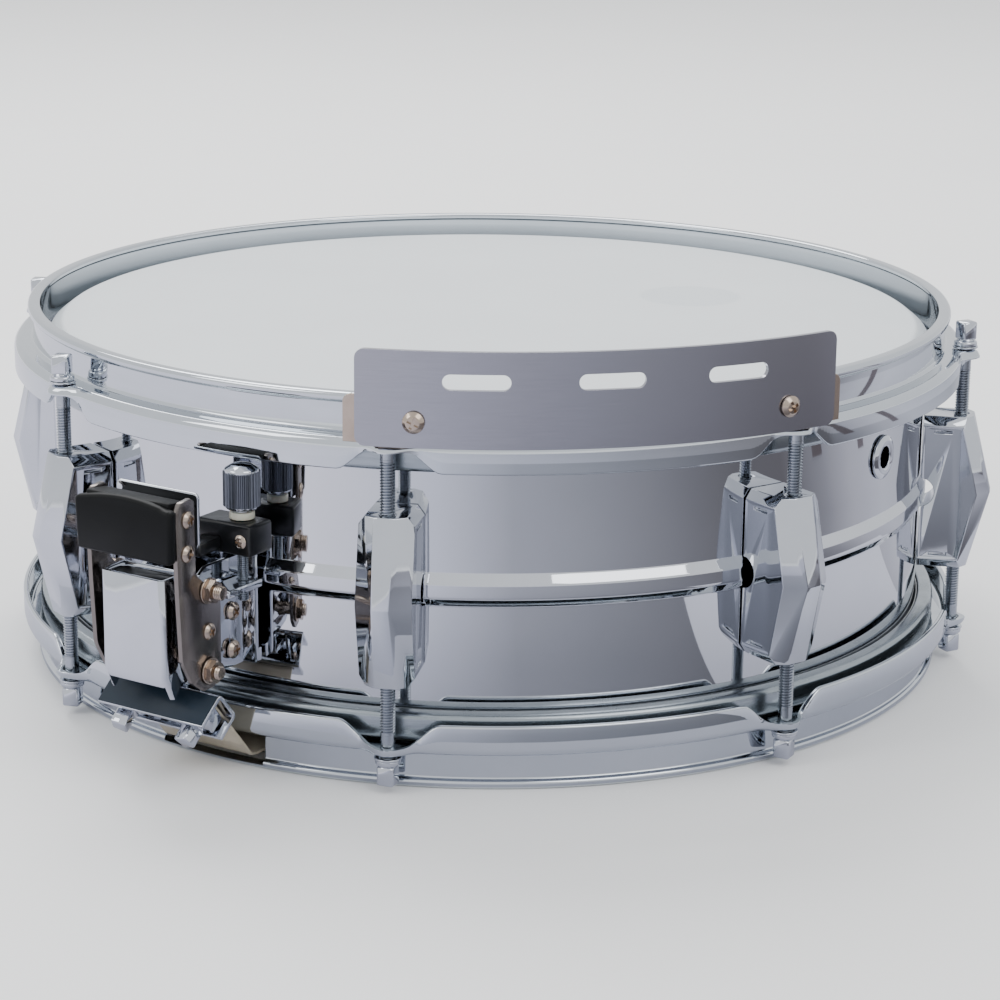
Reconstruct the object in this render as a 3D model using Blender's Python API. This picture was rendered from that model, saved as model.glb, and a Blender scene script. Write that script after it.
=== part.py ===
"""Snare drum, 14 inch by 5 inch class, chromed steel shell, eight double-ended lugs.

Frame: +Z up along the drum's axis, origin at the centre of the batter head's playing face.
The strainer is on the -Y side, the butt end on the +Y side, and the snares run along Y.
Fittings are drawn in a local frame whose X runs outwards, Y along the rim and Z up, and are
turned to their place about the drum's axis.
"""

import math

import bmesh
import bpy
from mathutils import Matrix, Vector

MM = 0.001
RING_SIDES = 64
ROD_SIDES = 10
PIN_SIDES = 12
GAP = 0.3 * MM

# Whole drum
DRUM_HEIGHT = 144.0 * MM
HEAD_RECESS = 8.0 * MM
MID_Z = HEAD_RECESS - DRUM_HEIGHT / 2

# Shell
SHELL_RADIUS = 177.5 * MM
SHELL_WALL = 1.5 * MM
SHELL_HALF_DEPTH = 63.3 * MM
BEAD_HEIGHT = 2.2 * MM
BEAD_HALF_WIDTH = 5.6 * MM
VENT_HOLE_RADIUS = 5.2 * MM
VENT_Z = -35.0 * MM

# Hoop section, measured from the rim edge inwards along the drum
HOOP_WALL_INNER = 182.2 * MM
HOOP_WALL_OUTER = 184.4 * MM
RIM_OUTER = 186.2 * MM
RIM_INNER = 181.2 * MM
SKIRT_OUTER = 192.0 * MM
SKIRT_INNER = 189.8 * MM
STEP_DEPTH = 14.3 * MM
STEP_THICKNESS = 2.3 * MM
HOOP_DEPTH = 26.0 * MM
EAR_RADIUS = 6.2 * MM
EAR_HOLE_RADIUS = 3.3 * MM
EAR_PROUD = 0.1 * MM

# Lugs and tension rods
LUG_COUNT = 8
FIRST_LUG_ANGLE = 22.5
ROD_CIRCLE = 192.5 * MM
ROD_RADIUS = 2.75 * MM
ROD_SHANK = 43.0 * MM
ROD_HEAD_SIDE = 6.35 * MM
ROD_HEAD_HEIGHT = 8.0 * MM
LUG_HALF_HEIGHT = 31.2 * MM
LUG_BACK = SHELL_RADIUS + 0.35 * MM
LUG_NOTCH_RADIUS = 5.9 * MM
LUG_HOLE_RADIUS = 3.2 * MM
LUG_HOLE_DEPTH = 19.0 * MM

# Guard plate, on the two rods that stand either side of its middle
GUARD_ANGLE = -45.0
GUARD_HALF_ANGLE = 25.3
GUARD_INNER = 199.3 * MM
GUARD_THICKNESS = 1.8 * MM
GUARD_BOTTOM = -6.4 * MM
GUARD_HEIGHT = 34.0 * MM
GUARD_CORNER = 5.0 * MM
GUARD_SLOT_ANGLES = (-13.3, 0.0, 13.3)
GUARD_SLOT_LENGTH = 23.5 * MM
GUARD_SLOT_HEIGHT = 5.6 * MM
GUARD_SLOT_Z = 17.0 * MM
GUARD_SCREW_ANGLE = 19.4
GUARD_SCREW_Z = 2.8 * MM
BRACKET_THICKNESS = 1.2 * MM

# Strainer, in its local frame
STRAINER_ANGLE = -90.0
BASE_INNER = 181.0 * MM
BASE_THICKNESS = 2.0 * MM
BASE_HALF_WIDTH = 19.0 * MM
CHEEK_INNER = 11.5 * MM
CHEEK_THICKNESS = 1.6 * MM
ARM_INNER = 18.5 * MM
ARM_THICKNESS = 1.8 * MM
PIVOT_RADIUS = 211.0 * MM
PIVOT_Z = -91.0 * MM
PIN_RADIUS = 2.5 * MM
KNOB_RADIUS_FROM_AXIS = 189.5 * MM
KNOB_OFFSET = 19.0 * MM
KNOB_RADIUS = 6.7 * MM
CLAMP_RADIUS = 211.0 * MM
CLAMP_Z = -109.5 * MM
CLAMP_TILT = 40.0
CLAMP_HALF_WIDTH = 24.0 * MM
BOLT_OFFSET = 15.0 * MM

# Snares
WIRE_COUNT = 20
WIRE_PITCH = 2.1 * MM
WIRE_RADIUS = 0.65 * MM
WIRE_Z = -129.05 * MM
WIRE_END = 149.0 * MM
STRAP_THICKNESS = 1.0 * MM
STRAP_Z = -130.5 * MM
STRAP_HALF_WIDTH = 20.0 * MM
GATE_HALF_WIDTH = 23.0 * MM

# Butt end, in its local frame
BUTT_ANGLE = 90.0
BUTT_STRAP_RADIUS = 196.0 * MM

# Finishes: colour, roughness, metallic
FINISHES = {
    "chrome": ((0.82, 0.83, 0.85), 0.08, 1.0),
    "nickel": ((0.72, 0.68, 0.62), 0.25, 1.0),
    "satin_steel": ((0.55, 0.55, 0.57), 0.3, 1.0),
    "coated_film": ((0.82, 0.84, 0.85), 0.55, 0.0),
    "clear_film": ((0.85, 0.86, 0.87), 0.3, 0.0),
    "black_rubber": ((0.03, 0.03, 0.03), 0.6, 0.0),
    "black_plastic": ((0.02, 0.02, 0.025), 0.35, 0.0),
    "knob_metal": ((0.3, 0.31, 0.33), 0.35, 1.0),
    "strap_plastic": ((0.75, 0.75, 0.72), 0.5, 0.0),
}


def clear_scene():
    for old in list(bpy.data.objects):
        bpy.data.objects.remove(old, do_unlink=True)


def finish(name):
    found = bpy.data.materials.get(name)
    if found:
        return found
    colour, roughness, metallic = FINISHES[name]
    made = bpy.data.materials.new(name)
    made.use_nodes = True
    shader = made.node_tree.nodes["Principled BSDF"]
    shader.inputs["Base Color"].default_value = (*colour, 1.0)
    shader.inputs["Roughness"].default_value = roughness
    shader.inputs["Metallic"].default_value = metallic
    return made


def mesh_from(name, work):
    bmesh.ops.recalc_face_normals(work, faces=work.faces)
    mesh = bpy.data.meshes.new(name)
    work.to_mesh(mesh)
    work.free()
    return mesh


def turned(name, profile, sides=RING_SIDES):
    """A profile of (radius, z) points turned about Z. It is a closed loop, or starts and ends on Z."""
    work = bmesh.new()
    rings = []
    for radius, z in profile:
        if radius == 0:
            rings.append([work.verts.new((0, 0, z))] * sides)
            continue
        ring = []
        for step in range(sides):
            angle = 2 * math.pi * step / sides
            ring.append(work.verts.new((radius * math.cos(angle), radius * math.sin(angle), z)))
        rings.append(ring)
    open_profile = profile[0][0] == 0
    pairs = list(zip(rings, rings[1:]))
    if not open_profile:
        pairs.append((rings[-1], rings[0]))
    for first, second in pairs:
        for step in range(sides):
            following = (step + 1) % sides
            corners = [first[step], first[following], second[following], second[step]]
            distinct = list(dict.fromkeys(corners))
            if len(distinct) > 2:
                work.faces.new(distinct)
    return mesh_from(name, work)


def rod(name, radius, low, high, sides=PIN_SIDES):
    return turned(name, [(0, low), (radius, low), (radius, high), (0, high)], sides)


def block(name, low, high):
    work = bmesh.new()
    size = [b - a for a, b in zip(low, high)]
    middle = [(a + b) / 2 for a, b in zip(low, high)]
    place = Matrix.Translation(middle) @ Matrix.Diagonal((*size, 1))
    bmesh.ops.create_cube(work, size=1, matrix=place)
    return mesh_from(name, work)


def plate(name, outline, low, high):
    """An outline of (x, z) points in the local X-Z plane, given its thickness from y = low to y = high."""
    work = bmesh.new()
    corners = [work.verts.new((x, low, z)) for x, z in outline]
    face = work.faces.new(corners)
    grown = bmesh.ops.extrude_face_region(work, geom=[face])
    moved = [item for item in grown["geom"] if isinstance(item, bmesh.types.BMVert)]
    bmesh.ops.translate(work, verts=moved, vec=(0, high - low, 0))
    return mesh_from(name, work)


def hull(name, points):
    work = bmesh.new()
    for point in points:
        work.verts.new(point)
    made = bmesh.ops.convex_hull(work, input=work.verts)
    unused = [v for v in made["geom_unused"] + made["geom_interior"] if isinstance(v, bmesh.types.BMVert)]
    bmesh.ops.delete(work, geom=list(set(unused)), context="VERTS")
    return mesh_from(name, work)


def arc_sheet(name, inner, thickness, half_angle, low, high, steps=14):
    """A sheet bent round Z, centred on the local X axis."""
    work = bmesh.new()
    rows = []
    for step in range(steps + 1):
        angle = math.radians(half_angle) * (2 * step / steps - 1)
        row = []
        for radius, z in ((inner, low), (inner + thickness, low), (inner + thickness, high), (inner, high)):
            row.append(work.verts.new((radius * math.cos(angle), radius * math.sin(angle), z)))
        rows.append(row)
    for first, second in zip(rows, rows[1:]):
        for side in range(4):
            following = (side + 1) % 4
            work.faces.new([first[side], first[following], second[following], second[side]])
    work.faces.new(rows[0])
    work.faces.new(rows[-1])
    return mesh_from(name, work)


def band(centre_line, thickness):
    """The outline of a strip that follows a line of (x, z) points."""
    left, right = [], []
    for index, point in enumerate(centre_line):
        before = Vector(centre_line[max(index - 1, 0)])
        after = Vector(centre_line[min(index + 1, len(centre_line) - 1)])
        along = (after - before).normalized()
        across = Vector((-along.y, along.x)) * thickness / 2
        left.append(tuple(Vector(point) + across))
        right.append(tuple(Vector(point) - across))
    return left + right[::-1]


def moved(mesh, matrix):
    mesh.transform(matrix)
    if matrix.determinant() < 0:
        mesh.flip_normals()
    return mesh


def shift(x=0.0, y=0.0, z=0.0):
    return Matrix.Translation((x, y, z))


def turn(degrees, axis="Z"):
    return Matrix.Rotation(math.radians(degrees), 4, axis)


def combined(mesh, others, operation):
    """The mesh after a Boolean with each of the others. The working objects are removed again."""
    base = bpy.data.objects.new("working_base", mesh)
    bpy.context.collection.objects.link(base)
    tools = []
    for other in others:
        tool = bpy.data.objects.new("working_tool", other)
        bpy.context.collection.objects.link(tool)
        step = base.modifiers.new("boolean", "BOOLEAN")
        step.solver = "EXACT"
        step.operation = operation
        step.object = tool
        tools.append(tool)
    shown = base.evaluated_get(bpy.context.evaluated_depsgraph_get())
    result = bpy.data.meshes.new_from_object(shown)
    result.name = mesh.name
    for used in [base, *tools]:
        bpy.data.objects.remove(used, do_unlink=True)
    return result


def cut(mesh, *others):
    return combined(mesh, others, "DIFFERENCE")


def join(mesh, *others):
    return combined(mesh, others, "UNION")


def one_mesh(name, meshes):
    """Separate solids in one mesh, to cut with or to join on in one go."""
    work = bmesh.new()
    for mesh in meshes:
        work.from_mesh(mesh)
    mesh = bpy.data.meshes.new(name)
    work.to_mesh(mesh)
    work.free()
    return mesh


def add(name, mesh, look, angle=0.0, place=(0, 0, 0), parent=None, smooth=False):
    piece = bpy.data.objects.new(name, mesh)
    bpy.context.collection.objects.link(piece)
    if smooth:
        mesh.shade_smooth()
        mesh.set_sharp_from_angle(angle=math.radians(35))
    if not mesh.materials:
        mesh.materials.append(finish(look))
    piece.rotation_euler = (0, 0, math.radians(angle))
    piece.location = place
    if parent:
        piece.parent = parent
        piece.matrix_parent_inverse = parent.matrix_basis.inverted()
    return piece


def joint_empty(name, angle, local):
    """An empty on a joint's axis, at a place given in the local frame that is turned by angle."""
    mark = bpy.data.objects.new(name, None)
    bpy.context.collection.objects.link(mark)
    mark.location = turn(angle) @ Vector(local)
    mark.rotation_euler = (0, 0, math.radians(angle))
    return mark


def rim_angles():
    return [FIRST_LUG_ANGLE + 360 / LUG_COUNT * index for index in range(LUG_COUNT)]


# Shell and its vent


def shell_mesh():
    crest = SHELL_RADIUS - 4.3 * MM
    inner = SHELL_RADIUS - SHELL_WALL
    bead_flat = BEAD_HALF_WIDTH / 2
    half = [
        (crest, SHELL_HALF_DEPTH),
        (SHELL_RADIUS, SHELL_HALF_DEPTH - 3.5 * MM),
        (SHELL_RADIUS, BEAD_HALF_WIDTH),
        (SHELL_RADIUS + BEAD_HEIGHT, bead_flat),
    ]
    inner_half = [
        (inner + BEAD_HEIGHT, bead_flat - 0.4 * MM),
        (inner, BEAD_HALF_WIDTH - 0.6 * MM),
        (inner, SHELL_HALF_DEPTH - 3.8 * MM),
    ]
    outside = half + [(radius, -z) for radius, z in half[::-1]]
    inside = [(radius, -z) for radius, z in inner_half[::-1]] + inner_half
    body = turned("shell", outside + inside)
    moved(body, shift(z=MID_Z))
    hole = rod("hole", VENT_HOLE_RADIUS, SHELL_RADIUS - 8 * MM, SHELL_RADIUS + 8 * MM)
    moved(hole, shift(z=VENT_Z) @ turn(90, "Y"))
    return cut(body, hole)


def grommet_mesh():
    outer = SHELL_RADIUS + GAP
    inner = SHELL_RADIUS - SHELL_WALL - 0.5 * MM
    bore = VENT_HOLE_RADIUS - 1.0 * MM
    tube = VENT_HOLE_RADIUS - 0.3 * MM
    profile = [
        (bore, outer + 1.4 * MM),
        (6.5 * MM, outer + 1.8 * MM),
        (8.6 * MM, outer + 0.8 * MM),
        (8.6 * MM, outer),
        (tube, outer),
        (tube, inner),
        (6.8 * MM, inner),
        (6.8 * MM, inner - 0.8 * MM),
        (bore, inner - 0.8 * MM),
    ]
    mesh = turned("vent_grommet", profile, 20)
    return moved(mesh, shift(z=VENT_Z) @ turn(90, "Y"))


# Heads and hoops. Each is drawn as the batter side and mirrored for the snare side.


def from_rim(profile):
    """Points given as (radius, depth below the rim edge) as (radius, z) on the batter side."""
    return [(radius, HEAD_RECESS - depth) for radius, depth in profile]


def head_mesh(name):
    film = 0.35 * MM
    edge = SHELL_RADIUS + 0.8 * MM
    outside = [
        (0, HEAD_RECESS),
        (edge - 4.7 * MM, HEAD_RECESS),
        (edge, HEAD_RECESS + 3.2 * MM),
        (edge + 0.2 * MM, HOOP_DEPTH + 0.5 * MM),
    ]
    inside = [
        (edge - 0.15 * MM, HOOP_DEPTH + 0.5 * MM),
        (edge - 0.35 * MM, HEAD_RECESS + 3.4 * MM),
        (edge - 4.85 * MM, HEAD_RECESS + film),
        (0, HEAD_RECESS + film),
    ]
    return turned(name, from_rim(outside + inside))


def flesh_hoop_mesh(name):
    inner = SHELL_RADIUS + 1.4 * MM
    outer = HOOP_WALL_OUTER + 0.4 * MM
    top = STEP_DEPTH + STEP_THICKNESS + 0.4 * MM
    bottom = top + 10.5 * MM
    return turned(name, from_rim([(inner, top), (outer, top), (outer, bottom), (inner, bottom)]))


def hoop_ring(name):
    under = STEP_DEPTH + STEP_THICKNESS
    profile = [
        (RIM_INNER, 0.0),
        (RIM_OUTER, 0.0),
        (RIM_OUTER, 2.2 * MM),
        (HOOP_WALL_OUTER, 3.2 * MM),
        (HOOP_WALL_OUTER, STEP_DEPTH),
        (SKIRT_OUTER - 1.0 * MM, STEP_DEPTH),
        (SKIRT_OUTER, STEP_DEPTH + 1.0 * MM),
        (SKIRT_OUTER, HOOP_DEPTH),
        (SKIRT_INNER, HOOP_DEPTH),
        (SKIRT_INNER, under),
        (HOOP_WALL_INNER, under),
        (HOOP_WALL_INNER, 1.6 * MM),
        (RIM_INNER, 1.6 * MM),
    ]
    return turned(name, from_rim(profile))


def hoop_mesh(name, extra_cuts=()):
    """A triple-flanged hoop: its skirt is cut away in a curve at each rod, which passes an ear."""
    under = HEAD_RECESS - STEP_DEPTH - STEP_THICKNESS
    edge = HEAD_RECESS - HOOP_DEPTH - 1 * MM
    ear_top = HEAD_RECESS - STEP_DEPTH + EAR_PROUD
    half = [(7.5 * MM, under), (10.5 * MM, under - 3.5 * MM), (17.5 * MM, edge)]
    outline = [(-y, z) for y, z in half] + half[::-1]
    ears, notches, holes = [], [], []
    for angle in rim_angles():
        to_rod = turn(angle) @ shift(x=ROD_CIRCLE)
        ears.append(moved(rod("ear", EAR_RADIUS, under - EAR_PROUD, ear_top), to_rod))
        holes.append(moved(rod("hole", EAR_HOLE_RADIUS, under - 2 * MM, ear_top + 2 * MM), to_rod))
        notch = plate("notch", outline, -(SKIRT_OUTER + 4 * MM), -(SKIRT_INNER - 3 * MM))
        notches.append(moved(notch, turn(angle + 90)))
    body = cut(hoop_ring(name), one_mesh("notches", notches), *extra_cuts)
    return cut(join(body, one_mesh("ears", ears)), one_mesh("holes", holes))


def other_side(mesh, name):
    """The same piece on the snare side: mirrored in the drum's middle plane."""
    mirror = shift(z=MID_Z) @ Matrix.Diagonal((1, 1, -1, 1)) @ shift(z=-MID_Z)
    copied = moved(mesh.copy(), mirror)
    copied.name = name
    return copied


def gate_cuts():
    """The windows in the snare-side hoop that the straps pass through, as the batter side has them."""
    low = HEAD_RECESS - 13.0 * MM
    high = HEAD_RECESS - 1.5 * MM
    cuts = []
    for side in (-1, 1):
        window = block("window", (-GATE_HALF_WIDTH, 175 * MM, low), (GATE_HALF_WIDTH, 188 * MM, high))
        cuts.append(moved(window, turn(90 - 90 * side)))
    return cuts


# Lugs and tension rods


def lug_mesh():
    face_end, face_mid, side = 4.3 * MM, 3.0 * MM, 10.2 * MM
    high, panel = LUG_HALF_HEIGHT, LUG_HALF_HEIGHT - 3.6 * MM
    points = []
    for y in (-1, 1):
        for z in (-1, 1):
            points.append((LUG_BACK, y * side, z * panel))
            points.append((194.0 * MM, y * side, z * panel))
            points.append((LUG_BACK, y * 7.6 * MM, z * high))
            points.append((197.6 * MM, y * face_end, z * high))
        points.append((200.4 * MM, y * side, 0))
        points.append((205.6 * MM, y * face_mid, 0))
    body = hull("lug", points)
    notch = rod("notch", LUG_NOTCH_RADIUS, -20 * MM, 20 * MM)
    moved(notch, shift(x=LUG_BACK - 0.3 * MM) @ turn(90, "X"))
    cuts = [notch]
    for z in (-1, 1):
        low, high_end = sorted((z * (high - LUG_HOLE_DEPTH), z * (high + 2 * MM)))
        cuts.append(moved(rod("hole", LUG_HOLE_RADIUS, low, high_end), shift(x=ROD_CIRCLE)))
    return cut(body, one_mesh("lug_cuts", cuts))


def tension_rod_mesh():
    """The rod's own frame has its axis on Z and the ear's face at z = 0."""
    washer, collar = 5.0 * MM, 4.6 * MM
    low = GAP
    profile = [
        (0, low + 3.2 * MM),
        (3.6 * MM, low + 3.2 * MM),
        (collar, low + 2.2 * MM),
        (collar, low + 1.0 * MM),
        (washer, low + 0.8 * MM),
        (washer, low),
        (ROD_RADIUS, low),
        (ROD_RADIUS, low - ROD_SHANK),
        (0, low - ROD_SHANK),
    ]
    half = ROD_HEAD_SIDE / 2
    key = block("key", (-half, -half, low + 2.8 * MM), (half, half, low + 2.6 * MM + ROD_HEAD_HEIGHT))
    return join(turned("tension_rod", profile, ROD_SIDES), key)


# Guard plate


def guard_plate_mesh():
    body = arc_sheet(
        "guard_plate", GUARD_INNER, GUARD_THICKNESS, GUARD_HALF_ANGLE, GUARD_BOTTOM, GUARD_BOTTOM + GUARD_HEIGHT, 18
    )
    slots = []
    for angle in GUARD_SLOT_ANGLES:
        half = GUARD_SLOT_LENGTH / 2 - GUARD_SLOT_HEIGHT / 2
        outline = []
        for end in (-1, 1):
            for step in range(7):
                bend = math.pi * step / 6 - math.pi / 2
                reach = GUARD_SLOT_HEIGHT / 2
                x = end * (half + reach * math.cos(bend))
                z = end * reach * math.sin(bend) + GUARD_SLOT_Z
                outline.append((x, z))
        slot = plate("slot", outline, -(GUARD_INNER + 6 * MM), -(GUARD_INNER - 6 * MM))
        slots.append(moved(slot, turn(angle + 90)))
    for side in (-1, 1):
        hole = rod("hole", 2.2 * MM, GUARD_INNER - 6 * MM, GUARD_INNER + 6 * MM)
        slots.append(moved(hole, turn(side * GUARD_SCREW_ANGLE) @ shift(z=GUARD_SCREW_Z) @ turn(90, "Y")))
    return cut(body, one_mesh("slots", slots), one_mesh("corners", guard_corners()))


def guard_corners():
    """The four corner pieces that leave the plate's corners round."""
    pieces = []
    middle_z = GUARD_BOTTOM + GUARD_HEIGHT / 2
    for side in (-1, 1):
        for up in (-1, 1):
            outline = [(2 * MM, -GUARD_CORNER), (2 * MM, 2 * MM), (-GUARD_CORNER, 2 * MM)]
            for step in range(5):
                bend = math.pi / 2 * (1 - step / 4)
                outline.append((GUARD_CORNER * (math.cos(bend) - 1), GUARD_CORNER * (math.sin(bend) - 1)))
            placed = [(side * x, middle_z + up * (z + GUARD_HEIGHT / 2)) for x, z in outline]
            piece = plate("corner", placed, -(GUARD_INNER + 6 * MM), -(GUARD_INNER - 6 * MM))
            pieces.append(moved(piece, turn(side * GUARD_HALF_ANGLE + 90)))
    return pieces


def guard_bracket_mesh(side):
    """A tab that the tension rod clamps, with an upright behind the plate for its screw."""
    ear_top = HEAD_RECESS - STEP_DEPTH + EAR_PROUD
    low = ear_top + GAP
    rod_angle = 180 / LUG_COUNT
    middle = side * (rod_angle - 0.4)
    upright = arc_sheet("upright", 197.7 * MM, BRACKET_THICKNESS, 4.6, low, low + 17 * MM, 4)
    moved(upright, turn(middle))
    foot = arc_sheet("foot", 188.0 * MM, 10.4 * MM, 2.9, low, low + BRACKET_THICKNESS, 4)
    moved(foot, turn(side * rod_angle))
    hole = rod("hole", EAR_HOLE_RADIUS, low - 2 * MM, low + 4 * MM)
    moved(hole, turn(side * rod_angle) @ shift(x=ROD_CIRCLE))
    tapped = rod("tapped", 1.7 * MM, 190 * MM, 204 * MM)
    moved(tapped, turn(side * GUARD_SCREW_ANGLE) @ shift(z=GUARD_SCREW_Z) @ turn(90, "Y"))
    return cut(join(upright, foot), hole, tapped)


def pan_screw_mesh(name, shank_radius, shank_length, head_radius):
    """A pan-head screw along +X, with the underside of its head at x = 0."""
    profile = [
        (0, 2.3 * MM),
        (head_radius * 0.7, 1.9 * MM),
        (head_radius, 0.6 * MM),
        (head_radius, 0.0),
        (shank_radius, 0.0),
        (shank_radius, -shank_length),
        (0, -shank_length),
    ]
    return moved(turned(name, profile, PIN_SIDES), turn(90, "Y"))


# Strainer


def strainer_base_mesh():
    """The plate on the shell, its feet above and below the bead, and the two cheeks."""
    low, high = -97.3 * MM, -50.0 * MM
    outer = BASE_INNER + BASE_THICKNESS
    body = block("strainer_base", (BASE_INNER, -BASE_HALF_WIDTH, low), (outer, BASE_HALF_WIDTH, high))
    feet = []
    for z in (low + 0.5 * MM, high - 5.5 * MM):
        first = (LUG_BACK, -BASE_HALF_WIDTH + 1 * MM, z)
        feet.append(block("foot", first, (outer - 1 * MM, BASE_HALF_WIDTH - 1 * MM, z + 5 * MM)))
    outline = [
        (outer - 1 * MM, -56.0 * MM),
        (203.0 * MM, -56.0 * MM),
        (209.5 * MM, -60.0 * MM),
        (217.0 * MM, -84.0 * MM),
        (217.0 * MM, -94.0 * MM),
        (214.0 * MM, -97.0 * MM),
        (outer - 1 * MM, -97.0 * MM),
    ]
    cheeks = []
    for side in (-1, 1):
        near, far = sorted((side * CHEEK_INNER, side * (CHEEK_INNER + CHEEK_THICKNESS)))
        cheeks.append(plate("cheek", outline, near, far))
    pin_hole = rod("pin_hole", PIN_RADIUS + GAP, -30 * MM, 30 * MM)
    moved(pin_hole, shift(PIVOT_RADIUS, 0, PIVOT_Z) @ turn(90, "X"))
    slot = block("slot", (183.6 * MM, 5 * MM, -69.6 * MM), (206.0 * MM, 16 * MM, -62.2 * MM))
    screw_holes = []
    for z in (-76.0 * MM, -90.5 * MM):
        screw = rod("screw_hole", 2.0 * MM, -30 * MM, 30 * MM)
        screw_holes.append(moved(screw, shift(189.0 * MM, 0, z) @ turn(90, "X")))
    joined = join(body, one_mesh("feet", feet), one_mesh("cheeks", cheeks))
    return cut(joined, slot, pin_hole, one_mesh("screw_holes", screw_holes))


def strainer_cover_mesh():
    """A box of bent sheet between the cheeks, open at the back and below."""
    half, sheet = 10.9 * MM, 1.4 * MM
    back, front = 215.0 * MM, 228.4 * MM
    low, high = -99.5 * MM, -55.0 * MM
    wide = 14.2 * MM
    outline = [
        (back, high),
        (front - 3.0 * MM, high),
        (front - 0.8 * MM, high - 0.9 * MM),
        (front, high - 3.0 * MM),
        (front - 1.0 * MM, low + 8 * MM),
        (front - 4.5 * MM, low),
        (front - 8.5 * MM, low),
        (back, low + 10 * MM),
    ]
    inside = [
        (back - 2 * MM, high - sheet),
        (front - 3.4 * MM, high - sheet),
        (front - sheet, high - 3.2 * MM),
        (front - 1.0 * MM - sheet, low + 8 * MM),
        (front - 4.5 * MM - sheet, low - 2 * MM),
        (back - 2 * MM, low - 2 * MM),
    ]
    body = plate("strainer_cover", outline, -wide, wide)
    hollow = plate("hollow", inside, -(wide - sheet), wide - sheet)
    body = cut(body, hollow)
    slots = []
    for side in (-1, 1):
        near, far = sorted((side * half, side * (CHEEK_INNER + CHEEK_THICKNESS + GAP)))
        slots.append(block("cheek_slot", (back - 3 * MM, near, low - 3 * MM), (217.3 * MM, far, -76 * MM)))
    return cut(body, one_mesh("slots", slots))


def lever_arm_mesh(side):
    """A steel side arm: wide over the pivot, narrow where it holds the grip."""
    outline = [
        (213.8 * MM, -27.5 * MM),
        (217.0 * MM, -26.0 * MM),
        (225.0 * MM, -26.6 * MM),
        (228.0 * MM, -29.5 * MM),
        (227.0 * MM, -60.0 * MM),
        (225.6 * MM, -84.0 * MM),
        (220.5 * MM, -93.5 * MM),
        (215.0 * MM, -97.6 * MM),
        (208.5 * MM, -97.8 * MM),
        (204.4 * MM, -93.0 * MM),
        (204.2 * MM, -64.0 * MM),
        (214.0 * MM, -53.5 * MM),
    ]
    near, far = sorted((side * ARM_INNER, side * (ARM_INNER + ARM_THICKNESS)))
    body = plate("lever_arm", outline, near, far)
    hole = rod("hole", PIN_RADIUS + GAP, -30 * MM, 30 * MM)
    moved(hole, shift(PIVOT_RADIUS, 0, PIVOT_Z) @ turn(90, "X"))
    return cut(body, hole)


def lever_grip_mesh():
    """The moulded grip between the arms, with a crowned top and a front that overhangs both arms."""
    between = [
        (213.5 * MM, -32.0 * MM),
        (220.0 * MM, -28.0 * MM),
        (226.0 * MM, -27.6 * MM),
        (228.4 * MM, -31.0 * MM),
        (228.4 * MM, -47.5 * MM),
        (216.0 * MM, -47.5 * MM),
        (213.5 * MM, -44.0 * MM),
    ]
    inner = plate("lever_grip", between, -(ARM_INNER - GAP), ARM_INNER - GAP)
    front = [
        (228.4 * MM, -47.5 * MM),
        (232.0 * MM, -47.5 * MM),
        (232.6 * MM, -30.0 * MM),
        (230.6 * MM, -26.4 * MM),
        (228.4 * MM, -25.6 * MM),
    ]
    face = plate("face", front, -24.0 * MM, 24.0 * MM)
    moved(face, shift(x=-0.1 * MM))
    return join(inner, face)


def pivot_bolt_mesh():
    """The lever's pivot: a pin through arms and cheeks with a hexagon nut at each end."""
    reach = ARM_INNER + ARM_THICKNESS + GAP
    body = rod("lever_pivot_bolt", PIN_RADIUS, -(reach + 5.5 * MM), reach + 5.5 * MM)
    nuts = []
    for side in (-1, 1):
        near, far = sorted((side * reach, side * (reach + 3.6 * MM)))
        nuts.append(rod("nut", 4.4 * MM, near, far, 6))
    return moved(join(body, one_mesh("nuts", nuts)), turn(90, "X"))


def yoke_mesh():
    """The black block under the knob, with its arm towards the lever."""
    body = block("tension_yoke", (183.6 * MM, 4 * MM, -52.0 * MM), (197.0 * MM, 28 * MM, -40.5 * MM))
    arm = block("arm", (196.0 * MM, 7 * MM, -51.0 * MM), (209.0 * MM, 15 * MM, -46.0 * MM))
    hole = rod("hole", 2.5 * MM, -60 * MM, -30 * MM)
    moved(hole, shift(KNOB_RADIUS_FROM_AXIS, KNOB_OFFSET, 0))
    return cut(join(body, arm), hole)


def knob_mesh():
    """Knurled knob, collar and screw, turned about their own axis, in the strainer's heights."""
    profile = [
        (0, -20.0 * MM),
        (3.5 * MM, -20.3 * MM),
        (6.0 * MM, -21.6 * MM),
        (KNOB_RADIUS, -23.0 * MM),
        (KNOB_RADIUS, -35.5 * MM),
        (KNOB_RADIUS - 0.8 * MM, -36.6 * MM),
        (4.6 * MM, -36.8 * MM),
        (4.6 * MM, -40.2 * MM),
        (2.1 * MM, -40.2 * MM),
        (2.1 * MM, -71.0 * MM),
        (0, -71.0 * MM),
    ]
    return turned("tension_knob", profile, 20)


def clamp_frame():
    """Local X points along the clamp bolts, outwards and down, and local Z along the strap."""
    return shift(CLAMP_RADIUS, 0, CLAMP_Z) @ turn(CLAMP_TILT, "Y")


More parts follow.
